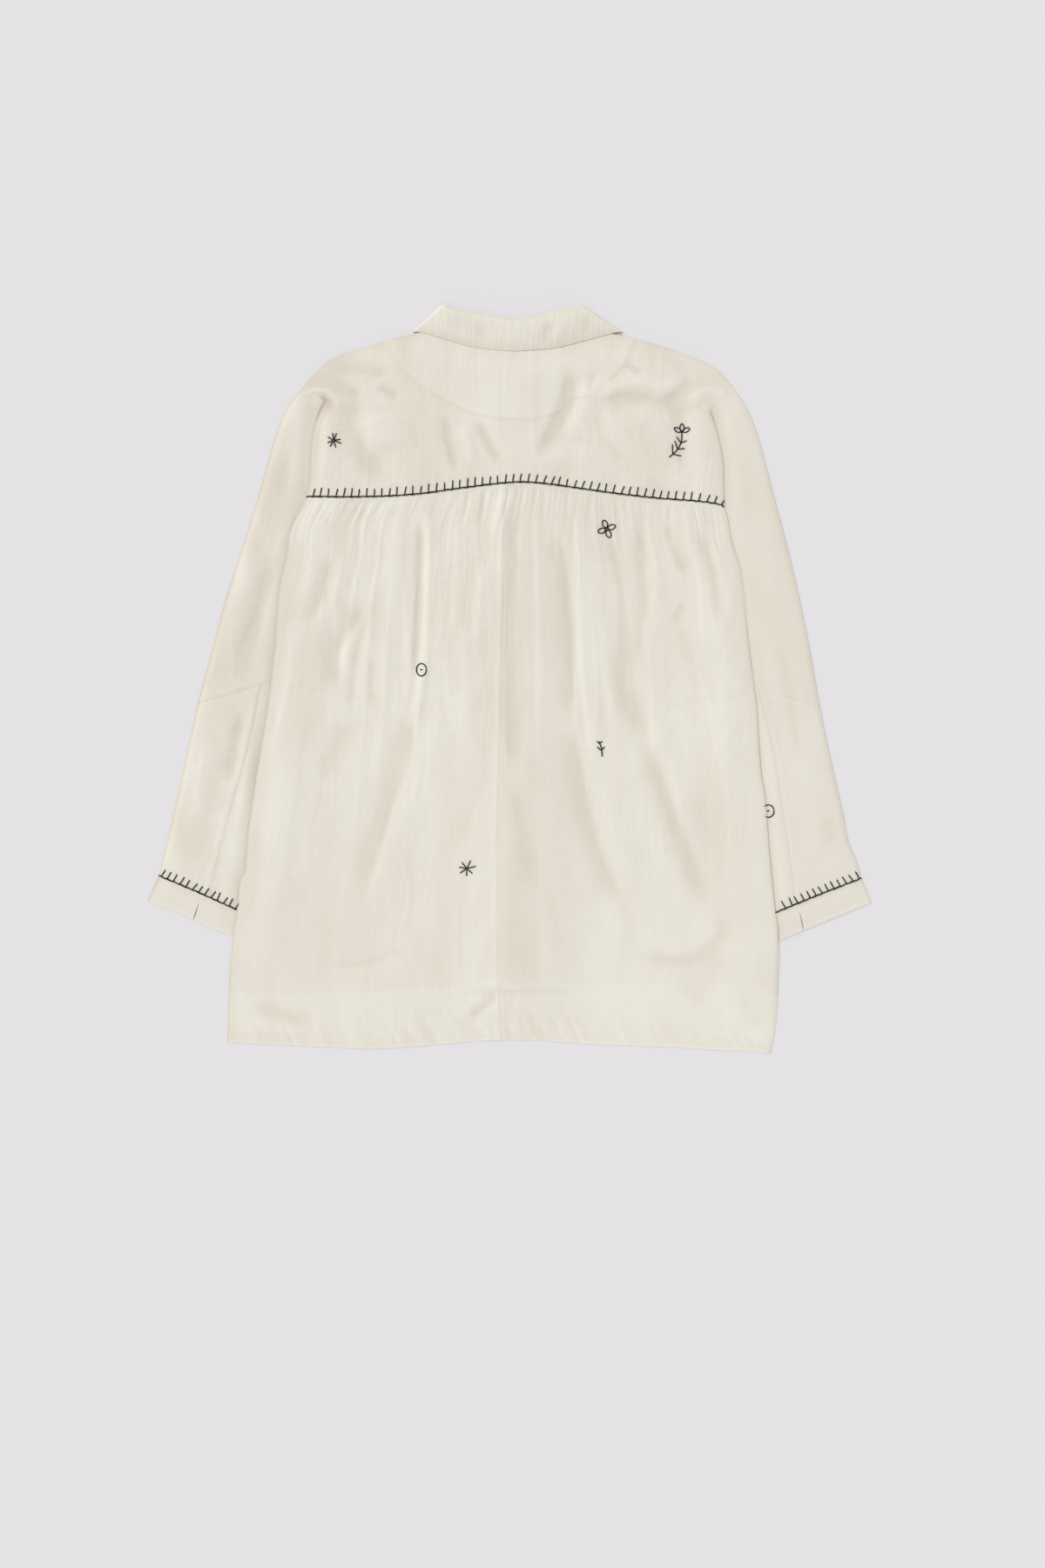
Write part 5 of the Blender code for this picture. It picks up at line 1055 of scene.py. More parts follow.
def make_sleeve(side, table, cut):
    """Upper sleeve as a flat tube to the elbow seam, then lower sleeve and under-sleeve panel."""
    table = np.array(table)
    last = len(table) - 1
    made = []
    upper_shares = uneven_shares(0.335, 0.0024, 0.0010, 0.004, 0.008)
    lower_shares = uneven_shares(0.235, 0.0024, 0.0010, 0.008, 0.004)
    sections = sleeve_rows(table, ELBOW_ROW, last, even(40))
    span = sections[:, 2:4] - sections[:, 0:2]
    panel = (sections[:, 4] / np.linalg.norm(span, axis=1))[:, None]
    seam_line = sections[:, 0:2] + span * (1 - panel)
    outer_line = sleeve_rows(table, 0, last, even(60))[:, 0:2]
    specs = (("cloth_upper_sleeve_", "whole", 0, ELBOW_ROW + ELBOW_LAP, upper_shares, 58),
             ("cloth_lower_sleeve_", "sleeve", ELBOW_ROW, last, lower_shares, 44),
             ("cloth_under_sleeve_", "strip", ELBOW_ROW, last, lower_shares, 20))
    for name, part, first, end, shares, count in specs:
        rows = sleeve_grid(table, cut, first, end, shares, part, count)
        if side == "right":
            rows = rows[:, ::-1]
        x, y = rows[..., 0], rows[..., 1]
        steps = np.full(x.shape, -SLEEVE_SHADE[side] * (1.0 if part == "whole" else 0.35))
        sway = smooth_noise(x + 0.2 * y, y, 0.024, 0.060, 631)
        steps = steps + 1.2 * DRAPE_SHADE * SLEEVE_LIFE[side] * sway
        at_cut = 1 - smoothstep(0.004, 0.026, np.abs(beside_path(x, y, np.array(cut))[0]))
        steps = steps * (1 - at_cut) + (drape_shade(x, y, 611) - 0.15) * at_cut + edge_shade(x, y, True)
        # Painted shade along the sleeve's outer fold, deeper on the wearer's left, where the key light falls
        # on it.
        off = beside_path(x, y, outer_line)[0]
        steps = steps - OUTLINE_SHADE[side] * bell(off, 0.0018)
        if part != "whole":
            off = beside_path(x, y, seam_line)[0]
            steps = steps - 0.75 * bell(off, 0.0011) - 0.20 * bell(off, 0.0045)
        tone = shaded(rows, steps, SLEEVE_FOLDS + (SHOULDER_FOLDS if part == "whole" else []))
        patches = smoothstep(-0.4, 0.8, smooth_noise(x, y, 0.045, 0.060, 841))
        flow = flow_rows(x, y, SLEEVE_CRINKLE[side] * (0.12 + 0.40 * patches))
        made.append(silk_sheet(name + side, rows, silk, closed=part == "whole", tones_and_shade=tone, flow=flow))
    return made


def make_cuff(side, seam_row, edge, slit_share):
    """The cuff, of doubled cloth, open at its slit for the lower part of its depth."""
    seam_row, edge = np.array(seam_row), np.array(edge)
    depth = np.concatenate([np.linspace(0, 0.2, 5), np.linspace(0.2, 0.8, 9)[1:],
                            np.linspace(0.8, 1.0, 5)[1:]])
    outer = seam_row[0:2] + (edge[0:2] - seam_row[0:2]) * depth[:, None]
    inner = seam_row[2:4] + (edge[2:4] - seam_row[2:4]) * depth[:, None]
    width = np.linalg.norm(inner - outer, axis=1)
    low_z = 0.0004
    hidden = 0.016
    slit_at = width * slit_share
    slit_width = 0.00035 + 0.0011 * smoothstep(0.30, 1.0, depth)
    fold = 0.0012
    beyond = width[:, None] - fold + (slit_at + slit_width / 2 - width + fold)[:, None] * even(22)
    nearer = (slit_at - slit_width / 2)[:, None] + (fold - slit_at + slit_width / 2)[:, None] * even(22)
    w = np.concatenate([beyond, nearer], axis=1)
    plan = outer[:, None] + (inner - outer)[:, None] * (w / width[:, None])[..., None]
    open_part = smoothstep(0.000, 0.016, (width[:, None] - w) - hidden)
    grain = cloth_grain(plan[..., 0], plan[..., 1], WRINKLE_SEED + 130, 0.55)
    crease = -0.00030 * bell(depth[:, None] - 0.13, 0.05)
    rim = 0.00025 * bell(depth[:, None] - 0.95, 0.06)
    lips = 0.0004 * bell(w - slit_at[:, None], 0.0020) * smoothstep(0.3, 0.6, depth)[:, None]
    closing = 1 - 0.92 * (0.45 * depth + 0.55 * smoothstep(0.30, 1.15, depth))[:, None]
    closing = closing * (0.30 + 0.70 * smoothstep(0.0, 0.020, w))
    top_z = 0.0018 + open_part * soft_floor(0.0010 + grain + crease + rim + lips, 0.0002)
    top_z = low_z + 0.00056 + (top_z - low_z - 0.00056) * closing
    top = with_height(plan, top_z)
    direction = ((inner - outer) / width[:, None])[:, None]
    floor_w = np.linspace(0, 1, 14)[None] * (width - 2 * fold)[:, None] + fold
    bottom = with_height(outer[:, None] + direction * floor_w[..., None], np.full(floor_w.shape, low_z))
    out_reach, out_z = half_round(np.full(len(depth), low_z), top_z[:, -1], -1.0, 5)
    outer_bend = with_height(top[:, -1:, :2] + direction * out_reach[..., None], out_z)
    in_reach, in_z = half_round(np.full(len(depth), low_z), top_z[:, 0], 1.0, 5)
    inner_bend = with_height(top[:, :1, :2] + direction * in_reach[..., None], in_z)[:, ::-1]
    rows = np.concatenate([top, outer_bend, bottom, inner_bend], axis=1)
    first_open = int(np.searchsorted(depth, 0.30))
    slit_column = beyond.shape[1] - 1
    w_all = np.hypot(rows[..., 0] - outer[:, :1], rows[..., 1] - outer[:, 1:])
    if side == "right":
        rows, w_all = rows[:, ::-1], w_all[:, ::-1]
        slit_column = rows.shape[1] - 2 - slit_column
    holes = [(row, slit_column) for row in range(first_open, len(depth) - 1)]
    tone = np.full(rows.shape[:2], 0.15)
    tone = tone + 0.30 * bell(depth[:, None], 0.07)
    # Painted shade in the crease near the cuff's seam.
    tone = tone - 0.25 * bell(depth[:, None] - 0.14, 0.05)
    # Painted light along the cuff's lower edge, against the shade of its rim.
    tone = tone + 0.45 * smoothstep(0.80, 0.98, depth)[:, None]
    # Painted shade along the cuff's outer fold.
    tone = tone - 1.4 * OUTLINE_SHADE[side] * bell(w_all, 0.0022)
    tone = tone + edge_shade(rows[..., 0], rows[..., 1], True)
    return silk_sheet("cloth_cuff_" + side, rows, silk, wall=DOUBLE - 0.0001, closed=True, tones_and_shade=tone,
                      left_out=holes)


def collar_side(side, back_count, turn_count, front_count):
    """Stations of one half of the collar, from the centre back round the side to the front."""
    sign = -1 if side == "left" else 1
    roll_back = smooth_path(ROLL_BACK_LEFT if side == "left" else ROLL_BACK_RIGHT)
    roll_front = smooth_path(ROLL_FRONT_LEFT if side == "left" else ROLL_FRONT_RIGHT)
    leaf_back = smooth_path(LEAF_BACK_LEFT if side == "left" else LEAF_BACK_RIGHT)
    leaf_front = smooth_path(LEAF_FRONT_LEFT if side == "left" else LEAF_FRONT_RIGHT)
    neck = smooth_path(BACK_NECK)
    middle = int(np.argmin(np.abs(neck[:, 0] - ROLL_BACK_LEFT[0][0])))
    neck_back = neck[middle::-1] if side == "left" else neck[middle:]
    neck_front = smooth_path(FRONT_NECK_LEFT if side == "left" else FRONT_NECK_RIGHT)
    turns = np.radians(np.linspace(90, -90, turn_count + 2)[1:-1])

    def lines(back, front, z_back, z_front):
        first, last = points_at(back, even(back_count)), points_at(front, even(front_count))
        zb, zf = z_back(first[:, 0], first[:, 1]), z_front(last[:, 0], last[:, 1])
        centre, half = (zb[-1] + zf[0]) / 2, (zb[-1] - zf[0]) / 2
        bend = [(first[-1, 0] + sign * half * math.cos(t), first[-1, 1], centre + half * math.sin(t))
                for t in turns]
        return np.vstack([np.column_stack([first, zb]), bend, np.column_stack([last, zf])])

    def level(value):
        def height(x, y):
            return np.full(len(x), value)
        return height

    def on_yoke(x, y):
        return yoke_height(x, y) + (SILK + DOUBLE) / 2 + 0.00010

    def on_front(x, y):
        return front_height(x, y, side) + 0.0001

    roll_z = float(yoke_height(np.array([0.005]), np.array([0.362]))[0]) + ROLL_RADIUS_BACK + 0.0006
    neck_line = lines(neck_back, neck_front, yoke_height, on_front)
    roll_line = lines(roll_back, roll_front, level(roll_z), level(0.0011))
    leaf_line = lines(leaf_back, leaf_front, on_yoke, level(0.0005))
    angles = np.concatenate([np.full(back_count + 1, math.pi / 2), turns,
                             np.full(front_count + 1, -math.pi / 2)])
    away = np.stack([sign * np.cos(angles), np.zeros(len(angles)), np.sin(angles)], axis=1)
    ease = (1 - np.sin(angles)) / 2
    radius = ROLL_RADIUS_BACK * (1 - ease) + ROLL_RADIUS_FRONT * ease
    return neck_line, roll_line, leaf_line, away, radius


def make_collar():
    """The stand, from the neck seam to the roll line, and the leaf, over the roll to its edge."""
    left, right = collar_side("left", 46, 7, 26), collar_side("right", 46, 7, 26)
    neck, roll, leaf, away, radius = [np.concatenate([a[:0:-1], b]) for a, b in zip(left, right)]
    radius = radius[:, None]
    up = roll - leaf
    up[:, 2] = 0.0
    up /= np.linalg.norm(up, axis=1)[:, None]
    stand_up = roll - neck
    stand_up /= np.linalg.norm(stand_up, axis=1)[:, None]
    inner_top = roll - radius * away
    stand_low = neck + stand_up * 0.0004
    stand_high = inner_top - (up + stand_up) / 2 * 0.0009
    stand = np.stack([stand_low + (stand_high - stand_low) * share for share in even(10)])
    stand_piece = silk_sheet("cloth_collar_stand", stand, silk_inside, wall=DOUBLE)
    outer_top = roll + radius * away
    bend = [roll + radius * (up * math.sin(a) - away * math.cos(a))
            for a in np.radians(np.linspace(20, 160, 7))]
    fall = []
    top_side = away[:, 2:3] > 0.98
    for share in uneven_shares(0.033, 0.0016, 0.0008, 0.0, 0.003):
        line = outer_top + (leaf - outer_top) * share
        x, y = line[:, 0], line[:, 1]
        belly = 0.0007 * math.sin(math.pi * min(1.0, share * 1.05)) * np.ones(len(x))
        lively = fold_heights(x, y, COLLAR_FOLDS) + 0.8 * cloth_grain(x, y, WRINKLE_SEED + 170, 0.9)
        lift = (belly + lively * math.sin(math.pi * (0.12 + 0.80 * share)))[:, None]
        fall.append(line + np.where(top_side, lift, 0.0) * np.array([0.0, 0.0, 1.0]))
    rows = np.stack([inner_top, *bend, *fall])
    tone = shaded(rows, -0.10, COLLAR_FOLDS)
    # Painted shade along the collar's roll line, where the leaf bends over.
    tone[:len(bend) + 2] -= 0.80
    leaf_piece = silk_sheet("cloth_collar_leaf", rows, silk, wall=DOUBLE, tones_and_shade=tone,
                            flow=flow_rows(rows[..., 0], rows[..., 1], 0.55))
    return stand_piece, leaf_piece


def make_button(number):
    """A shell button with a sunk middle, face down under the placket."""
    low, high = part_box(f"button_{number}")
    centre = ((low.x + high.x) / 2, (low.y + high.y) / 2)
    radius, height = (high.x - low.x) / 2, high.z - low.z
    segments, rim = BUTTON_SEGMENTS, radius
    profile = [(0.0, height), (rim * 0.86, height), (rim * 0.97, height * 0.86), (rim, height * 0.60),
               (rim * 0.97, height * 0.22), (rim * 0.90, 0.0), (rim * 0.74, 0.0), (rim * 0.62, height * 0.22),
               (rim * 0.40, height * 0.30), (0.0, height * 0.30)]
    mesh = bpy.data.meshes.new("button")
    turns = np.linspace(0, 2 * math.pi, segments, endpoint=False)
    points = [(centre[0], centre[1], low.z + height)]
    for r, z in profile[1:-1]:
        points += [(centre[0] + r * math.cos(t), centre[1] + r * math.sin(t), low.z + z) for t in turns]
    points.append((centre[0], centre[1], low.z + profile[-1][1]))

    def ring(k, s):
        return 1 + k * segments + s % segments

    faces = [(0, ring(0, s + 1), ring(0, s))[::-1] for s in range(segments)]
    for k in range(len(profile) - 3):
        faces += [(ring(k, s), ring(k + 1, s), ring(k + 1, s + 1), ring(k, s + 1)) for s in range(segments)]
    last = len(profile) - 3
    faces += [(len(points) - 1, ring(last, s + 1), ring(last, s)) for s in range(segments)]
    mesh.from_pydata(points, [], faces)
    mesh.materials.append(shell)
    mesh.shade_smooth()
    obj = linked(f"shell_button_{number}", mesh)
    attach(obj, "root")
    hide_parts(f"button_{number}")


def surface_tree(pieces):
    """A search tree over the middles of these pieces of cloth, to lay thread on."""
    points, faces = [], []
    for piece in pieces:
        start = len(points)
        points += [v.co.copy() for v in piece.data.vertices]
        faces += [[start + i for i in face.vertices] for face in piece.data.polygons]
    return BVHTree.FromPolygons(points, faces)


def laid(tree, plan, above):
    """Plan points brought to rest on the cloth below them."""
    points = []
    for x, y in plan:
        hit = tree.ray_cast(Vector((x, y, 0.05)), Vector((0, 0, -1)))[0]
        points.append((x, y, (hit.z if hit else ON_FLOOR) + above))
    return np.array(points)


def thread_axes(line):
    """Unit vectors at each point of a line: to its side, and over it."""
    tangent = np.gradient(line, axis=0)
    tangent /= np.linalg.norm(tangent, axis=1)[:, None] + 1e-12
    side = np.cross(tangent, [0.0, 0.0, 1.0])
    side /= np.linalg.norm(side, axis=1)[:, None] + 1e-12
    return side, np.cross(side, tangent)


def twisted(line, ply_radius, offset, pitch):
    """Two plies wound about a line."""
    run = lengths_along(line)
    side, over = thread_axes(line)
    turn = run / pitch * 2 * math.pi
    swing = (side * np.cos(turn)[:, None] + over * np.sin(turn)[:, None]) * offset
    return [(line + swing, ply_radius), (line - swing, ply_radius)]


def thread_mesh(name, strands, finish):
    """Fine tubes along lines, all in one mesh. A strand is (points, radius)."""
    points, faces, sides = [], [], THREAD_SIDES
    turns = np.linspace(0, 2 * math.pi, sides, endpoint=False)
    for line, radius in strands:
        start = len(points)
        side, over = thread_axes(line)
        for p, s, o in zip(line, side, over):
            points += [tuple(p + radius * (s * math.cos(t) + o * math.sin(t))) for t in turns]
        for k in range(len(line) - 1):
            a, b = start + k * sides, start + (k + 1) * sides
            faces += [(a + j, a + (j + 1) % sides, b + (j + 1) % sides, b + j) for j in range(sides)]
        faces.append(tuple(start + j for j in range(sides))[::-1])
        end = start + (len(line) - 1) * sides
        faces.append(tuple(end + j for j in range(sides)))
    mesh = bpy.data.meshes.new(name)
    mesh.from_pydata(points, [], faces)
    mesh.materials.append(finish)
    mesh.shade_smooth()
    obj = linked(name, mesh)
    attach(obj, "root")
    return obj


def stitch(tree, points, size=1.0):
    """One strand of embroidery thread through plan points, its ends sunk into the cloth."""
    path = smooth_path(points, 8)
    count = max(5, int(lengths_along(path)[-1] / 0.0006))
    plan = points_at(path, even(count))
    line = laid(tree, plan, SILK / 2 + THREAD * size * 0.85)
    line[0, 2] -= THREAD * size * 1.3
    line[-1, 2] -= THREAD * size * 1.3
    return twisted(line, THREAD * size * 0.60, THREAD * size * 0.48, 0.0021)


def blanket_stitch(tree, path, first, pitch, count, height, lean, seed, toward):
    """A line of thread along a seam, with an upright stitch at each pitch."""
    draw = np.random.default_rng(seed)
    strands = []
    run = lengths_along(path)
    length = run[-1]
    wander = points_at(path, even(int(length / 0.0012)))
    wobble = 0.00022 * np.sin(np.arange(len(wander)) * 0.9) + draw.normal(0, 0.00008, len(wander))
    wander = wander + np.asarray(toward) * wobble[:, None]
    line = laid(tree, wander, SILK / 2 + THREAD * 0.9)
    strands += twisted(line, THREAD * MAIN_LINE * 0.60, THREAD * MAIN_LINE * 0.48, 0.0023)
    at = first
    for _ in range(count):
        if at > length - 0.001:
            break
        foot = points_at(path, [at / length])[0]
        tangent = points_at(path, [min(1.0, (at + 0.001) / length)])[0] - foot
        tangent /= np.linalg.norm(tangent) + 1e-12
        normal = np.array([-tangent[1], tangent[0]])
        normal = normal if normal @ np.asarray(toward) > 0 else -normal
        tall = height * draw.uniform(0.90, 1.08)
        slant = lean + draw.normal(0, 0.0006)
        top = foot + normal * tall + tangent * slant
        middle = foot + normal * tall * 0.5 + tangent * (slant * 0.5 + draw.normal(0, 0.00018))
        strands += stitch(tree, [foot - normal * 0.0004, middle, top])
        at += pitch * draw.uniform(0.93, 1.07)
    return strands


def star_mark(tree, centre, size, arms, seed):
    """A plain star of straight stitches."""
    draw = np.random.default_rng(seed)
    strands = []
    for k in range(arms):
        angle = 2 * math.pi * (k + draw.uniform(-0.22, 0.22)) / arms + 0.3
        reach = size * draw.uniform(0.85, 1.1)
        tip = (centre[0] + reach * math.cos(angle), centre[1] + reach * math.sin(angle))
        middle = ((centre[0] + tip[0]) / 2, (centre[1] + tip[1]) / 2)
        start = (centre[0] + 0.0006 * math.cos(angle), centre[1] + 0.0006 * math.sin(angle))
        strands += stitch(tree, [start, middle, tip], MARK_THREAD)
    return strands


def ring_mark(tree, centre, half_width, half_height):
    """A ring of back stitches with a knot in the middle."""
    turns = np.linspace(0.2, 2 * math.pi + 0.1, 14)
    ring = [(centre[0] + half_width * math.cos(t), centre[1] + half_height * math.sin(t)) for t in turns]
    dot = [(centre[0] - 0.0010, centre[1] - 0.0005), (centre[0], centre[1] + 0.0006),
           (centre[0] + 0.0010, centre[1])]
    return stitch(tree, ring, MARK_THREAD) + stitch(tree, dot, MARK_THREAD)


def petal(tree, centre, angle, length, width):
    """A lazy-daisy petal: one looped stitch."""
    c, s = math.cos(angle), math.sin(angle)
    shape = [(0.0008, 0.0), (length * 0.45, width), (length * 0.85, width * 0.7), (length, 0.0),
             (length * 0.85, -width * 0.7), (length * 0.45, -width), (0.0008, 0.0)]
    outline = [(centre[0] + u * c - v * s, centre[1] + u * s + v * c) for u, v in shape]
    return stitch(tree, outline, MARK_THREAD)


def daisy_mark(tree, centre, size):
    strands = []
    for k in range(4):
        strands += petal(tree, centre, 0.35 + k * math.pi / 2, size, size * 0.27)
    return strands


def button_threads():
    """Two short bars of thread in the sunk middle of each button."""
    bars = []
    for number in BUTTON_NUMBERS:
        low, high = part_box(f"button_{number}")
        x, y = (low.x + high.x) / 2, (low.y + high.y) / 2
        sunk = low.z + (high.z - low.z) * 0.30
        for aside in (-0.0009, 0.0009):
            ends = [(x - 0.0016, y + aside, sunk + 0.0002), (x - 0.0012, y + aside, sunk - 0.0003),
                    (x + 0.0012, y + aside, sunk - 0.0003), (x + 0.0016, y + aside, sunk + 0.0002)]
            bars.append((np.array(ends), 0.0003))
    return bars


def sprig_mark(tree, foot, size, lean):
    """A stem with paired leaves, each a straight stitch."""
    tip = (foot[0] + lean * size, foot[1] + size)
    middle = ((foot[0] + tip[0]) / 2 + 0.001, (foot[1] + tip[1]) / 2)
    strands = stitch(tree, [foot, middle, tip], MARK_THREAD)
    for share in (0.42, 0.88):
        base = (foot[0] + (tip[0] - foot[0]) * share, foot[1] + (tip[1] - foot[1]) * share)
        reach = size * 0.34 * (1.2 - share * 0.6)
        for way in (-1, 1):
            end = (base[0] + way * reach * 0.8, base[1] + reach * 0.7)
            middle = ((base[0] + end[0]) / 2, (base[1] + end[1]) / 2)
            strands += stitch(tree, [base, middle, end], MARK_THREAD)
    return strands


def flower_sprig(tree, foot, size):
    """A curved stem with straight leaf stitches on both sides and a small open flower at its tip."""
    stem = smooth_path([(foot[0] + size * u, foot[1] + size * v)
                        for u, v in ((0.0, 0.0), (0.22, 0.20), (0.36, 0.46), (0.38, 0.74))])
    strands = stitch(tree, stem[::6].tolist() + [stem[-1].tolist()], MARK_THREAD)
    for place, share in enumerate((0.16, 0.40, 0.64)):
        base = points_at(stem, [share])[0]
        ahead = points_at(stem, [share + 0.05])[0] - base
        ahead /= np.linalg.norm(ahead)
        aside = np.array([-ahead[1], ahead[0]])
        for way in (-1, 1):
            reach = size * (0.30 - 0.04 * place) * (1.0 if way > 0 else 0.85)
            end = base + reach * (0.62 * ahead + 0.78 * way * aside)
            strands += stitch(tree, [base.tolist(), ((base + end) / 2).tolist(), end.tolist()], MARK_THREAD)
    for k in range(3):
        strands += petal(tree, stem[-1], 0.5 + k * math.pi / 3, size * 0.26, size * 0.06)
    return strands


def new_material(name, colour, roughness, specular=0.3):
    made = bpy.data.materials.new(name)
    made.use_nodes = True
    shader = made.node_tree.nodes["Principled BSDF"]
    shader.inputs["Base Color"].default_value = (*colour, 1.0)
    shader.inputs["Roughness"].default_value = roughness
    shader.inputs["Specular IOR Level"].default_value = specular
    return made


def added(made, kind, **inputs):
    """A new node in a material, with these inputs."""
    node = made.node_tree.nodes.new("ShaderNode" + kind)
    for name, value in inputs.items():
        node.inputs[name].default_value = value
    return node


def point_value(made, name):
    """A node that reads what give_points gave."""
    node = added(made, "Attribute")
    node.attribute_name = name
    return node


def worked_out(made, operation, *terms, clamp=False):
    """The result of a math operation on numbers and other nodes' outputs."""
    node = added(made, "Math")
    node.operation = operation
    node.use_clamp = clamp
    for place, term in enumerate(terms):
        if isinstance(term, float):
            node.inputs[place].default_value = term
        else:
            made.node_tree.links.new(term, node.inputs[place])
    return node.outputs[0]


def colour_mix(made, share, first, second):
    """A mix of two colours, each given as three numbers or as another node's output."""
    node = added(made, "Mix")
    node.data_type = "RGBA"
    made.node_tree.links.new(share, node.inputs["Factor"])
    for slot, colour in (("A", first), ("B", second)):
        if isinstance(colour, tuple):
            node.inputs[slot].default_value = (*colour, 1.0)
        else:
            made.node_tree.links.new(colour, node.inputs[slot])
    return node.outputs["Result"]


def silk_material(name, colour, deep_and_shaded, crease):
    """Fine silk: two crossed sets of threads, slubs, a soft cloudy change of tone, sheen, and the painted
    shade and highlight that each point's tone value carries.
    """
    made = new_material(name, colour, 0.50, 0.28)
    join = made.node_tree.links.new
    shader = made.node_tree.nodes["Principled BSDF"]
    shader.inputs["Sheen Weight"].default_value = 0.10
    shader.inputs["Sheen Roughness"].default_value = 0.45
    place = added(made, "TexCoord").outputs["Object"]

    clouds = added(made, "TexNoise", Scale=11.0, Detail=4.0)
    join(place, clouds.inputs["Vector"])
    spread = worked_out(made, "MULTIPLY_ADD", point_value(made, "tone").outputs["Fac"], -0.5, 0.24)
    drift = worked_out(made, "MULTIPLY_ADD", clouds.outputs["Fac"], 0.35, spread)
    # Where the tone runs deepest, the colour passes on into the painted crease shade.
    painted_crease_share = worked_out(made, "MULTIPLY_ADD", drift, 0.9, -1.08, clamp=True)
    cloudy = colour_mix(made, drift, colour, deep_and_shaded)
    join(colour_mix(made, painted_crease_share, cloudy, crease), shader.inputs["Base Color"])

    threads = []
    for direction in ("X", "Y"):
        wave = added(made, "TexWave", Scale=470.0, Distortion=1.5, Detail=1.0)
        wave.bands_direction = direction
        join(place, wave.inputs["Vector"])
        threads.append(wave.outputs["Fac"])
    slub_place = added(made, "Mapping", Scale=(60.0, 900.0, 60.0))
    join(place, slub_place.inputs["Vector"])
    slubs = added(made, "TexNoise", Scale=1.0)
    join(slub_place.outputs["Vector"], slubs.inputs["Vector"])
    weave = worked_out(made, "ADD", worked_out(made, "ADD", *threads), slubs.outputs["Fac"])

    flow = point_value(made, "flow").outputs["Vector"]
    parts = added(made, "SeparateXYZ")
    join(flow, parts.inputs["Vector"])
    wrinkle_place = added(made, "Mapping", Scale=(1 / WRINKLE_WIDTH, 1 / WRINKLE_LENGTH, 0.0))
    join(flow, wrinkle_place.inputs["Vector"])
    wrinkles = added(made, "TexNoise", Scale=1.0, Detail=1.5)
    join(wrinkle_place.outputs["Vector"], wrinkles.inputs["Vector"])
    away = worked_out(made, "ABSOLUTE", worked_out(made, "SUBTRACT", wrinkles.outputs["Fac"], 0.5))
    groove = worked_out(made, "MULTIPLY_ADD", away, -5.0, 1.0, clamp=True)
    depth = worked_out(made, "MULTIPLY", worked_out(made, "POWER", groove, 2.2), parts.outputs["Z"])

    crinkle = added(made, "Bump", Strength=1.0, Distance=WRINKLE_DEPTH)
    crinkle.invert = True
    join(depth, crinkle.inputs["Height"])
    bump = added(made, "Bump", Strength=0.35, Distance=0.00006)
    join(crinkle.outputs["Normal"], bump.inputs["Normal"])
    join(weave, bump.inputs["Height"])
    join(bump.outputs["Normal"], shader.inputs["Normal"])
    return made


silk = silk_material("fine_silk", SILK_LIGHT, SILK_DEEP_AND_SHADE, CREASE_SHADE)
silk_inside = silk_material("fine_silk_inside", INSIDE_LIGHT, INSIDE_DEEP_AND_SHADE, CREASE_SHADE)
shell = new_material("button_shell_fine", (0.80, 0.77, 0.70), 0.22, 0.5)
thread = new_material("dark_thread", (0.012, 0.011, 0.012), 0.75, 0.2)

yoke = make_yoke()
backs = {side: make_back(side) for side in ("left", "right")}
fronts = {side: make_front(side) for side in ("left", "right")}
facing = make_facing()
sleeves = {"left": make_sleeve("left", SLEEVE_LEFT, SHOULDER_CUT_LEFT),
           "right": make_sleeve("right", SLEEVE_RIGHT, SHOULDER_CUT_RIGHT)}
cuffs = {"left": make_cuff("left", SLEEVE_LEFT[-1], CUFF_EDGE_LEFT, CUFF_SLIT_LEFT),
         "right": make_cuff("right", SLEEVE_RIGHT[-1], CUFF_EDGE_RIGHT, CUFF_SLIT_RIGHT)}
stand, leaf = make_collar()
for number in BUTTON_NUMBERS:
    make_button(number)

body_tree = surface_tree([yoke, *backs.values()])
yoke_line = [(-0.2235, 0.1950), (-0.2212, 0.1990)] + [(x, y + 0.0006) for x, y in YOKE_SEAM[1:-1]]
yoke_line += [(0.2300, 0.1905), (0.2330, 0.1875)]
yoke_stitches = thread_mesh(
    "yoke_stitches",
    blanket_stitch(body_tree, smooth_path(yoke_line), 0.0062, YOKE_STITCH_PITCH, 60, YOKE_STITCH_HEIGHT,
                   0.0016, 5, (0.0, 1.0)), thread)
for side, lean, ends in (("left", 0.0013, ((-0.3824, -0.2138), (-0.2974, -0.2508))),
                         ("right", 0.0012, ((0.3838, -0.2166), (0.2900, -0.2540)))):
    tree = surface_tree([*sleeves[side], cuffs[side]])
    seam = np.array(ends)
    line = smooth_path([seam[0], seam[0] + (seam[1] - seam[0]) * 0.5 + (0.0, 0.0006), seam[1]])
    sense = (0.35, 1.0) if side == "left" else (-0.35, 1.0)
    thread_mesh(
        "cuff_stitches_" + side,
        blanket_stitch(tree, line, 0.0026, CUFF_STITCH_PITCH * 0.93, 13, CUFF_STITCH_HEIGHT * 0.88,
                       lean, 9 if side == "left" else 11, sense), thread)

marks = star_mark(body_tree, (-0.1915, 0.2605), MARK_SIZE, 8, 3)
marks += ring_mark(body_tree, (-0.0960, 0.0105), 0.0054, 0.0068)
marks += star_mark(body_tree, (-0.0465, -0.2060), MARK_SIZE * 1.1, 7, 8)
marks += flower_sprig(body_tree, (0.1740, 0.2420), 0.0365)
marks += daisy_mark(body_tree, (0.1060, 0.1640), 0.0100)
marks += sprig_mark(body_tree, (0.1010, -0.0840), 0.0160, -0.20)
embroidery = thread_mesh("embroidery_back", marks, thread)
thread_mesh("button_threads", button_threads(), silk_inside)
sleeve_tree = surface_tree(sleeves["right"])
sleeve_ring = ring_mark(sleeve_tree, (0.2822, -0.1435), 0.0062, 0.0068)
sleeve_marks = thread_mesh("embroidery_sleeve", sleeve_ring, thread)


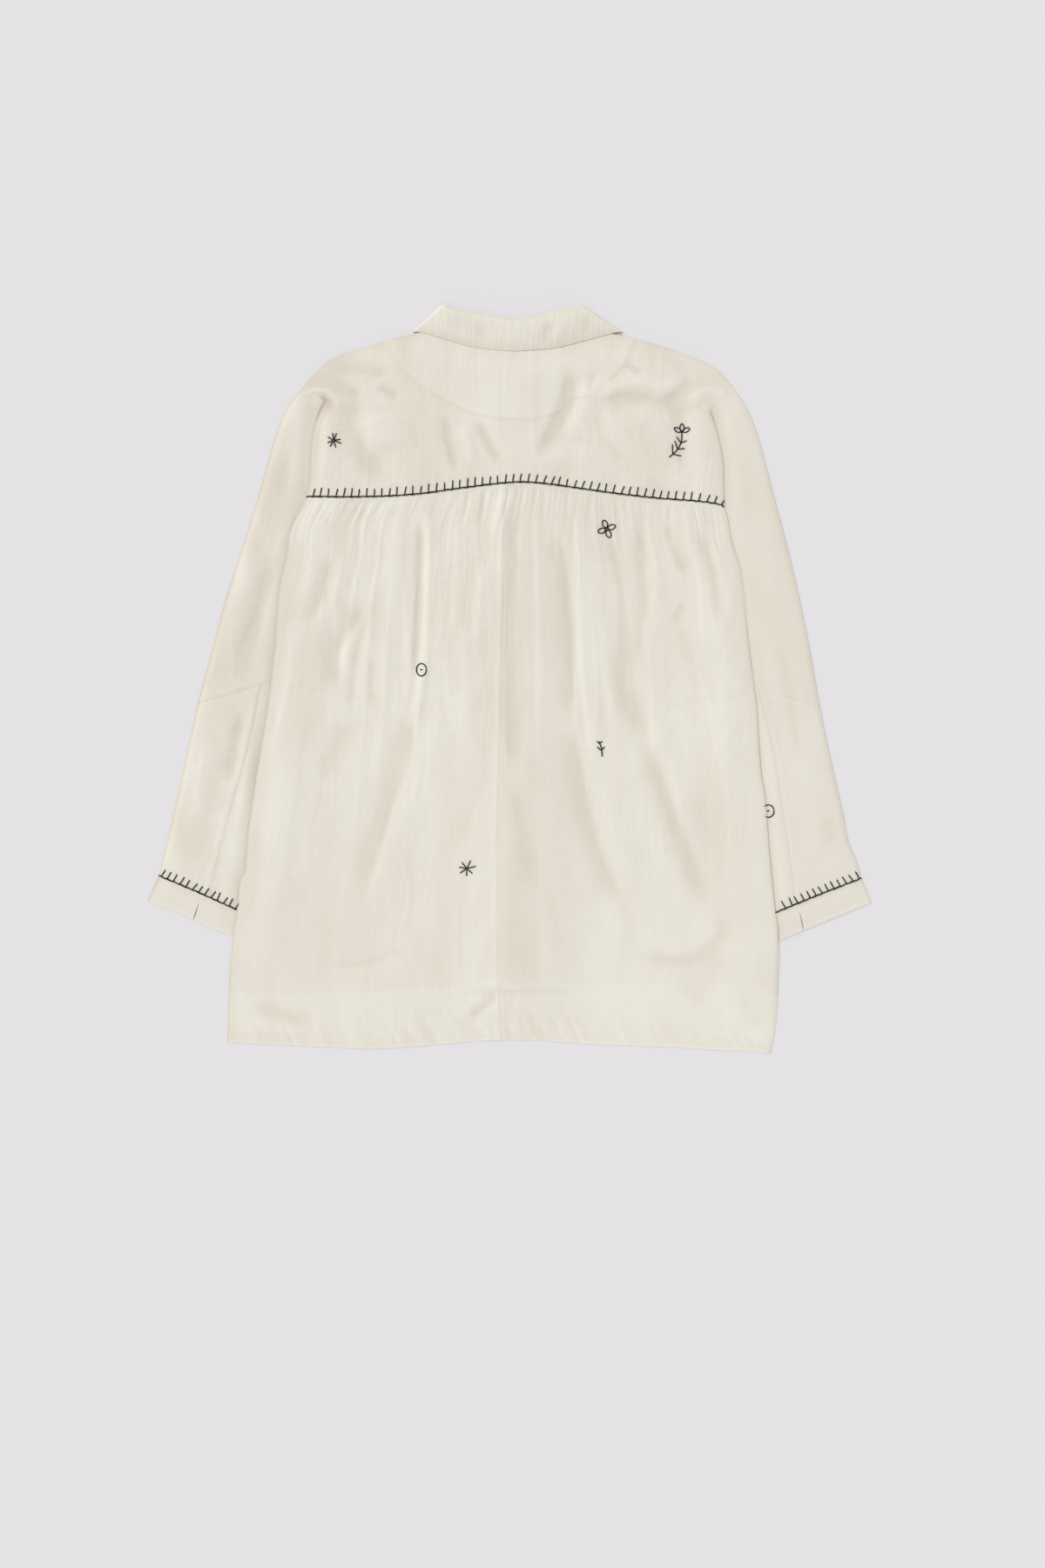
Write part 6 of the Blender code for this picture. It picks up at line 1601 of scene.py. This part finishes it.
def cut_of(piece, fullness):
    """The flat width, length and area of a piece, from the cloth as it lies and its fullness."""
    mesh = piece.data
    area = sum(face.area for face in mesh.polygons)
    corners = np.array([v.co[:] for v in mesh.vertices])
    size = corners.max(axis=0) - corners.min(axis=0)
    width, length = max(size[0], 0.02), max(size[1], 0.02)
    while width * length < area:
        width *= 1.04
    width *= fullness
    return width, length, min(area * fullness, width * length)


def declare(piece, node, fullness=1.0):
    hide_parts(node)
    width, length, area = cut_of(piece, fullness)


declare(yoke, "yoke")
for side in ("left", "right"):
    declare(backs[side], "back_" + side, GATHER_FULLNESS)
    declare(fronts[side], "front_" + side)
    for piece, node in zip(sleeves[side], ("upper_sleeve_", "lower_sleeve_", "under_sleeve_")):
        declare(piece, node + side)
    declare(cuffs[side], "cuff_" + side)
declare(facing, "neck_facing")
declare(stand, "collar_stand")
declare(leaf, "collar_leaf")

# The photo's view: straight down on a pale floor, in even light from the upper left
FLOOR_COLOUR = (0.797, 0.783, 0.807)
FLOOR_SEEN = (0.7758, 0.7605, 0.7835)
FLOOR_GLOW = 0.50
FLOOR_REACH = 9
FLOOR_LEVEL = -0.0002
WORLD_LEVEL = 0.65
KEY_STRENGTH = 1.41
KEY_FROM = (-0.66, 0.42, 0.82)
KEY_SOFTNESS = 38
CAMERA_HEIGHT = 4.0
CAMERA_CENTRE = (0.01425, -0.114)
FIELD_LONG_SIDE = 1.71
SENSOR = 36.0

floor_mesh = bpy.data.meshes.new("floor")
floor_corners = [(-FLOOR_REACH, -FLOOR_REACH), (FLOOR_REACH, -FLOOR_REACH),
                 (FLOOR_REACH, FLOOR_REACH), (-FLOOR_REACH, FLOOR_REACH)]
floor_mesh.from_pydata([(*corner, FLOOR_LEVEL) for corner in floor_corners], [], [(0, 1, 2, 3)])
floor = linked("floor", floor_mesh)
floor_finish = new_material("floor_paint", [part * (1 - FLOOR_GLOW) for part in FLOOR_COLOUR], 1.0, 0.0)
floor_shader = floor_finish.node_tree.nodes["Principled BSDF"]
floor_shader.inputs["Emission Color"].default_value = (*FLOOR_SEEN, 1.0)
floor_shader.inputs["Emission Strength"].default_value = FLOOR_GLOW
floor_mesh.materials.append(floor_finish)

world = bpy.data.worlds.new("even_light")
world.use_nodes = True
world.node_tree.nodes["Background"].inputs["Color"].default_value = (1.0, 1.0, 1.0, 1.0)
world.node_tree.nodes["Background"].inputs["Strength"].default_value = WORLD_LEVEL
bpy.context.scene.world = world
key_data = bpy.data.lights.new("key", "SUN")
key_data.energy = KEY_STRENGTH
key_data.angle = math.radians(KEY_SOFTNESS)
key = linked("key", key_data)
key.rotation_euler = Vector(KEY_FROM).to_track_quat("Z", "Y").to_euler()

camera_data = bpy.data.cameras.new("camera")
camera_data.sensor_fit = "VERTICAL"
camera_data.sensor_height = SENSOR
camera_data.lens = SENSOR * CAMERA_HEIGHT / FIELD_LONG_SIDE
camera = linked("camera", camera_data)
camera.location = (*CAMERA_CENTRE, CAMERA_HEIGHT)
bpy.context.scene.camera = camera
bpy.context.scene.view_settings.view_transform = "Standard"
